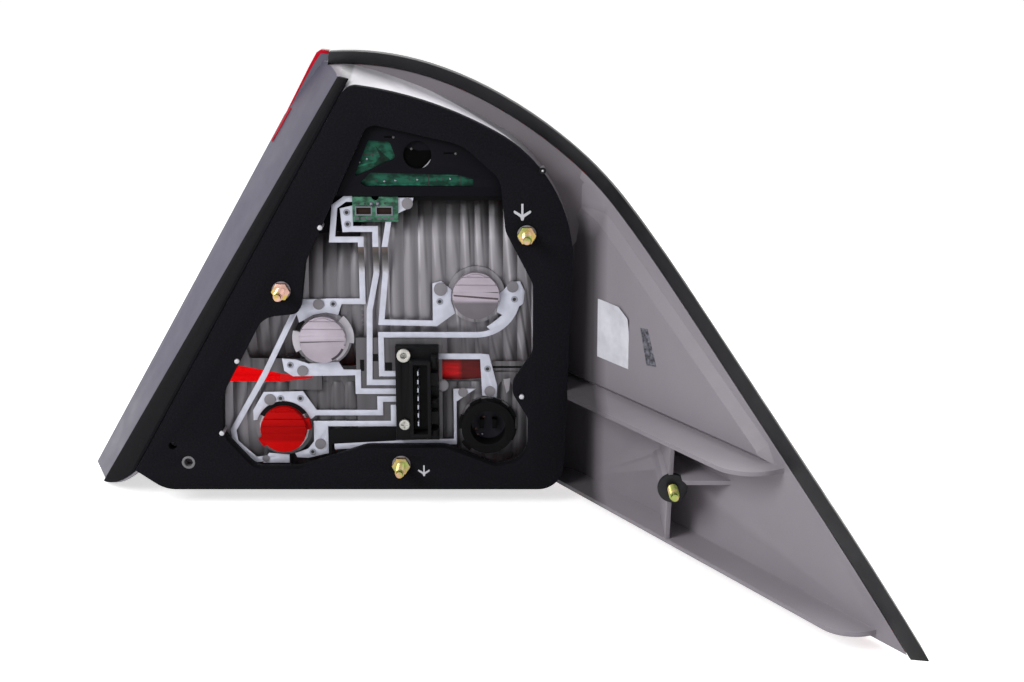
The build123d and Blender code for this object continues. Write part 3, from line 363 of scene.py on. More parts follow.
def soft_rubber(name, shade):
    """Extruded rubber with a bloom that varies along it."""
    tree = Tree(name)
    bloom = tree.noise(38.0, 5.0)
    tree.into("Base Color", tree.ramp(bloom, tinted(shade, 0.8), tinted(shade, 1.5)))
    tree.into("Roughness", tree.span(tree.noise(120.0), 0.36, 0.5))
    tree.set(Specular_IOR_Level=0.22)
    tree.bump(tree.noise(1800.0, 2.0), 0.1, 0.0001)
    return tree.material


def metallised(name, shade, roughness, painted_shade_tier=None):
    """Thin bright metal laid on plastic, a little cloudy, with painted shade below a height where one is
    given.
    """
    tree = Tree(name)
    cloud = tree.ramp(tree.noise(60.0, 3.0), tinted(shade, 0.86), tinted(shade, 1.1))
    if painted_shade_tier:
        height, share = painted_shade_tier
        cloud = tree.toned(cloud, tree.fade("Z", share, 1.0, height - 0.0012, height + 0.0008))
    tree.into("Base Color", cloud)
    tree.set(Metallic=0.6)
    tree.into("Roughness", tree.span(tree.noise(70.0, 3.0), roughness - 0.06, roughness + 0.08))
    tree.bump(tree.noise(160.0, 3.0), 0.08, 0.0006)
    return tree.material


def fluted_metal(name, shade, flutes, contrast, painted_tone, lean=0.0):
    """Metallised flutes with painted light: soft waves of painted shade, thin painted highlights and thin
    lines of painted shade, which come and go and lean outwards, and painted light and shade over the whole.
    """
    tree = Tree(name)
    left, step = flutes
    inward = tree.math("SUBTRACT", tree.axis("X"), left)
    shift = tree.times(inward, tree.math("SUBTRACT", BARREL_TOP, tree.axis("Z")), lean)
    place = tree.math("DIVIDE", tree.math("SUBTRACT", inward, shift), step)
    drift = tree.times(tree.noise(1.0, 1.0, stretch=(36.0, 36.0, 9.0)), 0.9)
    across = tree.math("FRACT", tree.math("ADD", place, drift))
    # Painted shade across each flute: lighter in its middle, darker towards its edges
    lit_crest, shaded_valley = tinted(shade, 1 + contrast), tinted(shade, 1 - contrast)
    wave = tree.ramp(tree.apart(across, 0.5), lit_crest, shaded_valley, 0.08, 0.48)
    # Painted highlights: thin bright lines on the flutes, in patches
    bright = tree.span(tree.apart(across, 0.3), 1.0, 0.0, 0.0, 0.11)
    highlight_patches = tree.span(tree.noise(1.0, 2.0, stretch=(55.0, 55.0, 22.0)), 0.0, 1.0, 0.46, 0.70)
    painted_lines = tree.blend(tree.times(bright, highlight_patches, min(1.0, contrast * 4)), wave, tinted(shade, 2.8))
    # Painted shade: thin dark lines on the flutes, in patches
    dark = tree.span(tree.apart(across, 0.72), 1.0, 0.0, 0.03, 0.12)
    shade_patches = tree.span(tree.noise(1.0, 2.0, stretch=(42.0, 42.0, 14.0)), 0.0, 1.0, 0.40, 0.62)
    painted_lines = tree.blend(tree.times(dark, shade_patches, min(1.0, contrast * 4.5)), painted_lines, tinted(shade, 0.25))
    tree.into("Base Color", tree.toned(painted_lines, painted_tone(tree)))
    tree.set(Metallic=0.5)
    tree.into("Roughness", tree.span(highlight_patches, 0.50, 0.38, 0.0, 1.0))
    tree.bump(tree.noise(1.0, 1.0, stretch=(300.0, 300.0, 5.0)), 0.03, 0.0004)
    return tree.material


def bent_strip(name):
    """Bends between the two levels of strip, with a painted reflection: dark above and light below."""
    tree = Tree(name)
    painted_reflection = (
        (0.48, 0.48, 0.54), (0.20, 0.19, 0.20), (0.065, 0.06, 0.06), (0.028, 0.024, 0.023),
        (0.09, 0.06, 0.05),
    )
    streak = tree.ramp(tree.noise(420.0, 2.0), (0.75, 0.75, 0.75), (1.0, 1.0, 1.0))
    shade = tree.bands(tree.axis("Z"), BEND_LOW, BEND_HIGH, painted_reflection)
    tree.into("Base Color", tree.toned(shade, streak))
    tree.set(Metallic=0.2)
    tree.into("Roughness", tree.span(tree.noise(300.0), 0.3, 0.45))
    return tree.material


def tinned_strip(name, shade, metallic=0.35, roughness=0.42):
    """Rolled strip, tinned: fine lines along Z and dull spots."""
    tree = Tree(name)
    spots = tree.noise(210.0, 4.0)
    tree.into("Base Color", tree.ramp(spots, tinted(shade, 0.9), tinted(shade, 1.04), 0.35, 0.65))
    tree.set(Metallic=metallic)
    tree.into("Roughness", tree.span(tree.noise(420.0, 2.0), roughness - 0.08, roughness + 0.1))
    tree.bump(tree.noise(700.0, 2.0, stretch=(1.0, 1.0, 0.2)), 0.06, 0.0002)
    return tree.material


def plated_steel(name, shade, other, third, roughness=0.3):
    """Zinc-plated steel with patches of passivation in three shades."""
    tree = Tree(name)
    patch = tree.ramp(tree.noise(150.0, 3.0), shade, other, 0.40, 0.60)
    second = tree.span(tree.noise(95.0, 2.0), 0.0, 1.0, 0.48, 0.62)
    tree.into("Base Color", tree.blend(second, patch, tuple(third)))
    tree.set(Metallic=0.9)
    tree.into("Roughness", tree.span(tree.noise(600.0), roughness - 0.08, roughness + 0.12))
    tree.bump(tree.noise(1500.0), 0.08, 0.0001)
    return tree.material


def lens_plastic(name, shade, passing, roughness, rib=None):
    """Clear coloured plastic that lets light through, ribbed where it is the optic side."""
    tree = Tree(name)
    haze = tree.noise(30.0, 3.0)
    tree.into("Base Color", tree.ramp(haze, tinted(shade, 0.94), tinted(shade, 1.04)))
    tree.set(Roughness=roughness, IOR=1.49, Transmission_Weight=passing)
    tree.bump(tree.noise(45.0, 2.0), 0.02, 0.0006)
    if rib:
        wave = tree.math("SINE", tree.times(tree.axis("X"), math.tau / rib))
        cross = tree.math("SINE", tree.times(tree.axis("Z"), math.tau / rib))
        tree.bump(tree.math("ADD", wave, cross), 0.5, rib / 6)
    return tree.material


def lacquered_board(name, shade):
    """Board under green lacquer, with the tracks showing through."""
    tree = Tree(name)
    tracks = tree.noise(330.0, 2.0, stretch=(0.6, 1.0, 1.0))
    tree.into("Base Color", tree.ramp(tracks, tinted(shade, 0.55), tinted(shade, 1.7), 0.40, 0.62))
    tree.set(Roughness=0.40, Specular_IOR_Level=0.12)
    tree.bump(tracks, 0.15, 0.0001)
    return tree.material


def coated_paper(name, shade, roughness=0.5):
    """Coated paper with faint fibre and handling marks."""
    tree = Tree(name)
    fibre = tree.noise(300.0, 5.0)
    rub = tree.ramp(tree.noise(55.0, 4.0), (0.86, 0.86, 0.87), (1.0, 1.0, 1.0), 0.36, 0.56)
    base = tree.ramp(fibre, tinted(shade, 0.95), tinted(shade, 1.03))
    tree.into("Base Color", tree.toned(base, rub))
    tree.into("Roughness", tree.span(tree.noise(80.0), roughness - 0.06, roughness + 0.08))
    tree.bump(tree.noise(140.0, 3.0), 0.1, 0.0004)
    return tree.material


def mottled_foil(name, shade):
    """Foil plate, dull and scuffed, with bright flecks."""
    tree = Tree(name)
    scuff = tree.noise(420.0, 5.0, rough=0.7)
    tree.into("Base Color", tree.ramp(scuff, tinted(shade, 0.6), tinted(shade, 2.6), 0.42, 0.66))
    tree.set(Metallic=0.5)
    tree.into("Roughness", tree.span(scuff, 0.3, 0.6))
    tree.bump(scuff, 0.15, 0.0002)
    return tree.material


def gap_painted_light(name, bright, dark):
    """Painted light: red of the lens lit from behind, as the right gap shows it, bright in the middle and
    streaked.
    """
    tree = Tree(name)
    sides = tree.times(tree.fade("X", 0.0, 1.0, 0.021, 0.028), tree.fade("X", 1.0, 0.14, 0.0355, 0.0385))
    ends = tree.times(tree.fade("Z", 0.25, 1.0, 0.0505, 0.0545), tree.fade("Z", 1.0, 0.2, 0.0605, 0.0625))
    streaks = tree.span(tree.noise(110.0, 2.0, stretch=(0.35, 1.0, 2.2)), 0.5, 1.2, 0.35, 0.6)
    tree.into("Base Color", tree.ramp(tree.times(sides, ends, streaks), dark, bright, 0.0, 1.0))
    tree.set(Roughness=0.4, Specular_IOR_Level=0.2)
    return tree.material


def bulb_glass(name):
    """Clear glass with a faint wave."""
    tree = Tree(name)
    tree.set(Base_Color=(0.96, 0.97, 0.97, 1.0), Roughness=0.02, IOR=1.5, Transmission_Weight=0.95)
    tree.bump(tree.noise(80.0), 0.02, 0.0004)
    return tree.material


def only(obj):
    """Selects one object and nothing else."""
    bpy.ops.object.select_all(action="DESELECT")
    obj.select_set(True)
    bpy.context.view_layer.objects.active = obj


def added(make, **settings):
    """Object that an operator adds, as the only one selected."""
    bpy.ops.object.select_all(action="DESELECT")
    make(**settings)
    return bpy.context.object


def reshape(piece, matrix):
    """Moves the points of a piece by a matrix."""
    piece.matrix_world = matrix
    only(piece)
    bpy.ops.object.transform_apply(location=True, rotation=True, scale=True)


def edit_all(piece):
    """Opens a piece in edit mode with all of it selected."""
    only(piece)
    bpy.ops.object.mode_set(mode="EDIT")
    bpy.ops.mesh.select_all(action="SELECT")


def leave_edit():
    bpy.ops.object.mode_set(mode="OBJECT")


def pick(piece, kind, test):
    """Selects the points or faces of a piece that pass a test, and stays in edit mode."""
    only(piece)
    bpy.ops.object.mode_set(mode="EDIT")
    bpy.ops.mesh.select_mode(type=kind)
    bpy.ops.mesh.select_all(action="DESELECT")
    leave_edit()
    for item in piece.data.vertices if kind == "VERT" else piece.data.polygons:
        item.select = test(item)
    bpy.ops.object.mode_set(mode="EDIT")


def dress(obj, material):
    """Gives a piece one finish."""
    obj.data.materials.clear()
    obj.data.materials.append(material)


def repaint(piece, material, test):
    """Gives the faces that pass a test another finish."""
    piece.data.materials.append(material)
    pick(piece, "FACE", test)
    piece.active_material_index = len(piece.data.materials) - 1
    bpy.ops.object.material_slot_assign()
    leave_edit()


def settle(piece, material, angle=34.0):
    """Merges, smooths, dresses and mounts a finished piece."""
    edit_all(piece)
    bpy.ops.mesh.remove_doubles(threshold=0.000002)
    bpy.ops.mesh.normals_make_consistent(inside=False)
    leave_edit()
    bpy.ops.object.shade_smooth_by_angle(angle=math.radians(angle))
    dress(piece, material)
    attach(piece, "root")
    return piece


def softened(node, material, width, steps=None, shape=None):
    """Piece that stands for a CAD node, with the same shape and rounded edges."""
    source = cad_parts[node]
    piece = bpy.data.objects.new(node + "_rounded", source.data.copy())
    bpy.context.scene.collection.objects.link(piece)
    only(piece)
    bpy.ops.mesh.customdata_custom_splitnormals_clear()
    edit_all(piece)
    bpy.ops.mesh.remove_doubles(threshold=0.000005)
    bpy.ops.mesh.dissolve_limited(angle_limit=math.radians(0.6))
    leave_edit()
    if shape:
        shape(piece)
    bevel = piece.modifiers.new("Rounded edges", "BEVEL")
    bevel.limit_method = "ANGLE"
    bevel.angle_limit = math.radians(32.0)
    bevel.width = width
    bevel.segments = steps or sizes().rounding
    bevel.use_clamp_overlap = True
    bpy.ops.object.modifier_apply(modifier=bevel.name)
    bpy.ops.object.shade_smooth_by_angle(angle=math.radians(34.0))
    dress(piece, material)
    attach(piece, "root")
    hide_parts(node)
    return piece


def front_plane(depth):
    """Millimetre plane that faces forward at a depth, drawn in x and z."""
    return Matrix.Scale(MM, 4) @ Matrix.Translation((0.0, depth, 0.0)) @ Matrix.Rotation(math.pi / 2, 4, "X")


def tilted_plane(place, along, face):
    """Millimetre plane through a place, with its first axis along one direction and facing another."""
    face = Vector(face).normalized()
    up = face.cross(Vector(along)).normalized()
    turn = Matrix((up.cross(face), up, face)).transposed().to_4x4()
    return Matrix.Scale(MM, 4) @ Matrix.Translation(place) @ turn


def wing_plane(inset):
    """Millimetre plane beside the wing's inner face, drawn along the wing and up."""
    turn = Matrix((WING_ALONG, (0.0, 0.0, 1.0), -WING_ACROSS)).transposed().to_4x4()
    return Matrix.Scale(MM, 4) @ Matrix.Translation(WING_START - inset * WING_ACROSS) @ turn


def arc(place, radius, angles):
    """Points on a circle at angles in radians."""
    return [(place[0] + radius * math.cos(angle), place[1] + radius * math.sin(angle)) for angle in angles]


def round_outline(place, radius, count=28):
    """Outline of a circle."""
    return arc(place, radius, [math.tau * index / count for index in range(count)])


def sector_outline(place, inner, outer, start, end, count=12):
    """Outline of a piece of a ring, between two angles in degrees."""
    angles = [math.radians(start + (end - start) * index / count) for index in range(count + 1)]
    return arc(place, outer, angles) + arc(place, inner, angles[::-1])


def box_outline(left, right, low, high):
    """Outline of a rectangle."""
    return [(left, low), (right, low), (right, high), (left, high)]


def rounds(places, radius, count):
    """Outlines of circles of one size."""
    return [round_outline(place, radius, count) for place in places]


def boxes(limits):
    """Outlines of rectangles."""
    return [box_outline(*limit) for limit in limits]


def cut_plates(name, outlines, plane, thick, material, edge=0.0):
    """Plates cut to flat outlines in millimetres: an outline inside another is a hole."""
    sheet = bpy.data.curves.new(name, "CURVE")
    sheet.dimensions = "2D"
    sheet.fill_mode = "BOTH"
    sheet.extrude = thick / 2 - edge
    sheet.bevel_depth = edge
    sheet.bevel_resolution = 1
    for outline in outlines:
        line = sheet.splines.new("POLY")
        line.points.add(len(outline) - 1)
        for point, (x, y) in zip(line.points, outline):
            point.co = (x, y, 0.0, 1.0)
        line.use_cyclic_u = True
    piece = bpy.data.objects.new(name, sheet)
    bpy.context.scene.collection.objects.link(piece)
    only(piece)
    bpy.ops.object.convert(target="MESH")
    piece = bpy.context.object
    reshape(piece, plane)
    return settle(piece, material)


def front_plates(name, outlines, depth, thick, material, slot=None, edge=0.0):
    """Plates that face forward, with their middle at a depth."""
    return cut_plates(name, outlines, front_plane(depth), thick, material, edge)


def joined(name, pieces):
    """Makes one piece of several."""
    bpy.ops.object.select_all(action="DESELECT")
    for piece in pieces:
        piece.select_set(True)
    bpy.context.view_layer.objects.active = pieces[0]
    if len(pieces) > 1:
        bpy.ops.object.join()
    whole = bpy.context.object
    whole.name = name
    return whole


def domes(name, places, radius, height, depth, material):
    """Low round heads at front-view places, standing forward of a depth."""
    first = added(bpy.ops.mesh.primitive_uv_sphere_add, segments=20, ring_count=10, radius=1.0)
    edit_all(first)
    bpy.ops.mesh.bisect(plane_co=(0.0, 0.0, 0.0), plane_no=(0.0, 0.0, 1.0), clear_inner=True, use_fill=True)
    leave_edit()
    stretch = Matrix.Diagonal((radius, radius, height, 1.0))
    heads = []
    for place in places:
        head = first.copy()
        head.data = first.data.copy()
        bpy.context.scene.collection.objects.link(head)
        reshape(head, front_plane(depth) @ Matrix.Translation((*place, 0.0)) @ stretch)
        heads.append(head)
    bpy.data.objects.remove(first)
    return settle(joined(name, heads), material)


class LAMP_OT_housing(Operator):
    """Dress the grey moulding of bucket and wing, and finish its top corner and its pins"""

    bl_idname = "lamp.housing"
    bl_label = "Housing"

    # A seat is a place in millimetres, the way along the outline and the way that the plate faces
    lip_seat = ((-48.4, 53.8, 250.9), (-0.516, 0.291, -0.806), (-0.21, -0.955, -0.21))
    lip_outline = (
        (-0.9, -1.6), (6.3, -2.1), (17.5, -2.0), (28.6, -1.6), (40.9, -1.0), (40.8, 3.1), (30.1, 4.1),
        (15.0, 4.8), (0.7, 6.7), (-3.6, 2.8),
    )
    edge_seat = ((-71.2, 64.7, 217.7), (-0.507, 0.032, -0.861), (-0.792, -0.411, 0.451))
    edge_outline = ((0.0, 0.0), (-0.3, 2.6), (13.4, 3.0), (24.8, 2.0), (25.0, 0.0), (13.3, -0.4), (3.9, -0.4))
    # The wing lies to the right of this, in metres
    wing_side = 0.100

    def execute(self, context):
        done = finishes()
        body = softened("housing", self.grey("housing_grey", done.housing), sizes().edge)
        side = moulded_plastic("inboard_grey", done.inboard, 0.45, spread=0.12, gloss=0.25)
        coats = (
            # Painted shade: the wing darkened in its deep corner beside the bucket
            (self.grey("wing_grey_painted_shade", done.housing, self.wing_painted_shade), self.is_wing),
            # Painted light: the shelf's upper faces lightened, with the wing's painted shade as well
            (self.grey("shelf_grey_painted_light", done.shelf, self.wing_painted_shade), self.is_shelf),
            # Painted light: the top wall, bright in front of a slanting line
            (moulded_plastic("top_grey_painted_light", done.top_wall_painted_light, 0.5, painted_tone=self.top_painted_light), self.is_top_wall),
            # Painted shade: the skin darkened beside the rim seal
            (moulded_plastic("skin_grey_painted_shade", done.skin, 0.5, gloss=0.25), self.is_skin),
            (moulded_plastic("flange_black", done.black, 0.6, gloss=0.1), self.is_flange_edge),
            (side, self.is_inboard),
        )
        for coat, test in coats:
            repaint(body, coat, test)
        cut_plates("corner_lip", [self.lip_outline], tilted_plane(*self.lip_seat), 0.6, side)
        red = moulded_plastic("lens_edge_red", done.lens_edge, 0.4, gloss=0.06)
        cut_plates("lens_edge", [self.edge_outline], tilted_plane(*self.edge_seat), 0.4, red)
        self.pins(done)
        return {"FINISHED"}

    def grey(self, name, shade, painted_tone=None):
        return moulded_plastic(name, shade, 0.46, gloss=0.35, painted_tone=painted_tone)

    def wing_painted_shade(self, tree):
        """Painted shade: dark in the deep corner beside the bucket, up to the shoulder."""
        deep = tree.fade("X", 0.28, 1.0, 0.1205, 0.1285)
        return tree.math("MAXIMUM", deep, tree.fade("Z", 0.0, 1.0, 0.135, 0.165))

    def top_painted_light(self, tree):
        """Painted light: bright only in front of a slanting line, and more so to the right."""
        slant = tree.math("ADD", tree.axis("Y"), tree.times(tree.axis("X"), 0.57))
        front = tree.span(slant, 1.0, 0.36, 0.0485, 0.0505)
        corner = tree.fade("X", 0.5, 1.0, -0.0285, -0.0270)
        return tree.times(front, corner, tree.fade("X", 0.82, 1.5, -0.020, 0.025))

    def pins(self, done):
        tips = moulded_plastic("pin_tip_white", done.mark, 0.4)
        black = moulded_plastic("pin_black", done.black, 0.5, gloss=0.1)
        *others, upper = PINS
        domes("locating_pin_tips", others, 1.5, 0.6, PIN_FRONT, tips)
        cap = round_outline(upper, 2.1)
        front_plates("upper_pin_cap", [cap], PIN_FRONT - 0.1, 0.3, black, "housing_grey")
        domes("upper_pin_tip", [upper], 0.7, 0.4, PIN_FRONT - 0.25, tips)

    def is_inboard(self, face):
        x, y, z = face.center / MM
        return y > 8.5 and face.normal.x < -0.5 and x < -166.0 + 0.572 * z

    def is_wing(self, face):
        normal = face.normal
        return face.center.x > self.wing_side and normal.x < 0.3 and normal.y < 0.3 and normal.z > -0.5

    def is_shelf(self, face):
        return face.center.x > self.wing_side and face.center.z < 0.060 and face.normal.z > 0.7

    def is_top_wall(self, face):
        x, y, z = face.center / MM
        return face.normal.z > 0.7 and 8.0 < y < 60.0 and z > 195.0 and -34.0 < x < 90.0

    def is_skin(self, face):
        x, y, z = face.center / MM
        return face.normal.y < -0.85 and face.normal.x < -0.15 and y > 12.0 and z > 140.0 and x < 125.0

    def is_flange_edge(self, face):
        x, y, z = face.center / MM
        inside = -118.0 < x < 93.0 and -7.0 < z < 176.0
        return inside and 7.5 < y < 11.0 and abs(face.normal.y) < 0.5


class LAMP_OT_lens(Operator):
    """Dress the red lens and its clear field"""

    bl_idname = "lamp.lens"
    bl_label = "Lens"

    # Step of the ribs inside, in metres
    rib = 0.006

    def execute(self, context):
        done = finishes()
        shell = self.layer("lens_red", done.red_lens, 0.92, 0.12, 0.2)
        repaint(shell, moulded_plastic("lens_rim_red", done.lens_rim, 0.4, gloss=0.06), self.is_corner_rim)
        self.layer("lens_clear", done.clear_lens, 0.95, 0.06, 0.1)
        return {"FINISHED"}

    def layer(self, node, shade, passing, outer_roughness, inner_roughness):
        """Lens that is plain outside and ribbed inside."""
        outside = lens_plastic(node + "_plastic", shade, passing, outer_roughness)
        inside = lens_plastic(node + "_optic", shade, passing, inner_roughness, self.rib)
        piece = softened(node, outside, sizes().edge)
        repaint(piece, inside, lambda face: face.normal.y < -0.3 and face.center.y > 0.03)
        return piece

    def is_corner_rim(self, face):
        return face.normal.y < -0.8 and face.center.x < -0.035 and face.center.z > 0.150


class LAMP_OT_gasket(Operator):
    """Dress the foam gasket, the inboard foam strip and the bush, and mark the gasket"""

    bl_idname = "lamp.gasket"
    bl_label = "Gasket"

    # Right half of an arrow in millimetres, and the middle and scale of each mark
    half_arrow = ((0.65, 5.2), (0.65, -1.4), (4.7, 1.1), (5.4, 0.4), (4.9, -0.6), (1.3, -3.0), (0.6, -5.1))
    marks = {"mark_upper": (76.3, 162.0, 1.0), "mark_lower": (14.3, -4.0, 0.7)}
    # In metres: middle of the window, sill of the stop lamp, top end of the strip and its shift
    window, stop_sill = (0.012, 0.120), 0.166
    top_end, top_shift = 0.225, (0.007, 0.0, 0.012)

    def execute(self, context):
        done = finishes()
        foam = closed_foam("gasket_foam", done.foam)
        gasket = softened("gasket", foam, sizes().foam_edge)
        # Painted light: the window's walls beside the cover are lightened to make up for the shade on them
        repaint(gasket, closed_foam("window_foam_painted_light", tinted(done.foam, 5.0)), self.is_window_wall)
        strip = softened("inboard_foam_strip", foam, sizes().foam_edge, shape=self.raise_top)
        # Painted shade: the strip's left side is darker than its front
        shaded = closed_foam("strip_side_foam_painted_shade", tinted(done.foam, 0.45))
        repaint(strip, shaded, lambda face: face.normal.x < -0.5)
        bush = moulded_plastic("bush_grey", tinted(done.mark, 0.22), 0.4)
        softened("locating_bush", bush, sizes().strip_edge)
        ink = moulded_plastic("mark_white", done.mark, 0.6, spread=0.14, gloss=0.1)
        arrow = self.half_arrow + tuple((-x, z) for x, z in reversed(self.half_arrow))
        for name, (across, up, scale) in self.marks.items():
            outline = [(across + scale * x, up + scale * z) for x, z in arrow]
            front_plates(name, [outline], GASKET_FRONT - 0.08, 0.2, ink)
        return {"FINISHED"}

    def is_window_wall(self, face):
        """Walls of the window beside the stop lamp's cover."""
        x, z = face.center.x - self.window[0], face.center.z - self.window[1]
        inward = face.normal.x * x + face.normal.z * z < 0.0
        return inward and abs(face.normal.y) < 0.5 and face.center.z > self.stop_sill

    def raise_top(self, piece):
        pick(piece, "VERT", lambda point: point.co.z > self.top_end)
        bpy.ops.transform.translate(value=self.top_shift)
        leave_edit()


class LAMP_OT_seal(Operator):
    """Dress the rubber lip along the rim"""

    bl_idname = "lamp.seal"
    bl_label = "Rim Seal"

    def execute(self, context):
        rubber = soft_rubber("seal_rubber", finishes().rubber)
        softened("edge_seal", rubber, sizes().seal_edge, 4)
        return {"FINISHED"}


class LAMP_OT_reflectors(Operator):
    """Dress the fluted reflectors"""

    bl_idname = "lamp.reflectors"
    bl_label = "Reflectors"

    # In metres: the reverse lamp lies to the left of its side, the stakes stand forward of their foot
    reverse_side, stake_foot = -0.0235, 0.01105

    def execute(self, context):
        silver = finishes().silver
        turn = fluted_metal("turn_flutes", tinted(silver, 0.88), TURN_FLUTES, 0.20, self.turn_painted_shade, 1.27)
        reverse = fluted_metal("reverse_flutes", tinted(silver, 1.1), REVERSE_FLUTES, 0.08, self.reverse_painted_light)
        tail = fluted_metal("lower_flutes", tinted(silver, 1.03), LOWER_FLUTES, 0.10, self.lower_painted_light)
        stakes = metallised("stake_grey", tinted(silver, 0.86), 0.5)
        upper = softened("reflector_upper", turn, sizes().flute_edge, 4)
        lower = softened("reflector_lower", tail, sizes().flute_edge, 4)
        repaint(upper, reverse, lambda face: face.center.x < self.reverse_side)
        for piece in (upper, lower):
            repaint(piece, stakes, lambda face: face.center.y < self.stake_foot)
        return {"FINISHED"}

    def turn_painted_shade(self, tree):
        """Painted shade and reflection: dark at the top, apart from the right-hand flutes."""
        drop = tree.fade("Z", 1.0, 0.15, 0.143, 0.157)
        return tree.math("MAXIMUM", drop, tree.fade("X", 0.15, 0.30, 0.050, 0.080))

    def reverse_painted_light(self, tree):
        """Painted light and shade: light in the middle, dark at the top."""
        return tree.fade("Z", 0.62, 0.24, 0.122, 0.142)

    def lower_painted_light(self, tree):
        """Painted light: light at the inboard end."""
        left = tree.fade("X", 0.95, 0.34, -0.099, -0.080)
        return tree.math("MAXIMUM", left, tree.fade("X", 0.34, 0.55, 0.018, 0.050))


class LAMP_OT_circuit(Operator):
    """Dress the stamped strips and their rivets, and add the turn lamp's pad"""

    bl_idname = "lamp.circuit"
    bl_label = "Circuit"

    turn_pad = (
        (62.5, 109.0), (71.1, 115.7), (75.0, 113.2), (75.4, 104.5), (72.8, 98.1), (68.8, 92.5), (62.5, 87.8),
        (56.9, 84.9), (54.4, 87.2), (60.0, 91.4), (64.1, 94.9), (60.6, 96.8),
    )
    bent = ("ground_strip", "stop_feed_strip", "stop_return_strip")

    def execute(self, context):
        tin = tinned_strip("circuit_tin", finishes().tin)
        bend = bent_strip("bent_tin_painted_reflection")
        strips = [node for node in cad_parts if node.endswith("_strip") and node != "inboard_foam_strip"]
        for node in sorted(strips):
            piece = softened(node, tin, sizes().strip_edge)
            if node in self.bent:
                repaint(piece, bend, lambda face: BEND_LOW < face.center.z < BEND_HIGH)
        grey = tinned_strip("rivet_tin", tinted(finishes().tin, 0.5), 0.6)
        softened("circuit_rivets", grey, sizes().strip_edge)
        front_plates("turn_pad", [self.turn_pad], LOW_STRIP + 0.2, 0.5, tin, "circuit_metal", 0.1)
        # Painted shade: the rivets' bores darkened
        dark = moulded_plastic("rivet_bore", finishes().black, 0.6)
        for name, places, seat in (("low", LOW_RIVETS, LOW_STRIP), ("high", HIGH_RIVETS, HIGH_STRIP)):
            front_plates("rivet_bores_" + name, rounds(places, 1.15, 18), seat - 0.06, 0.1, dark)
        return {"FINISHED"}


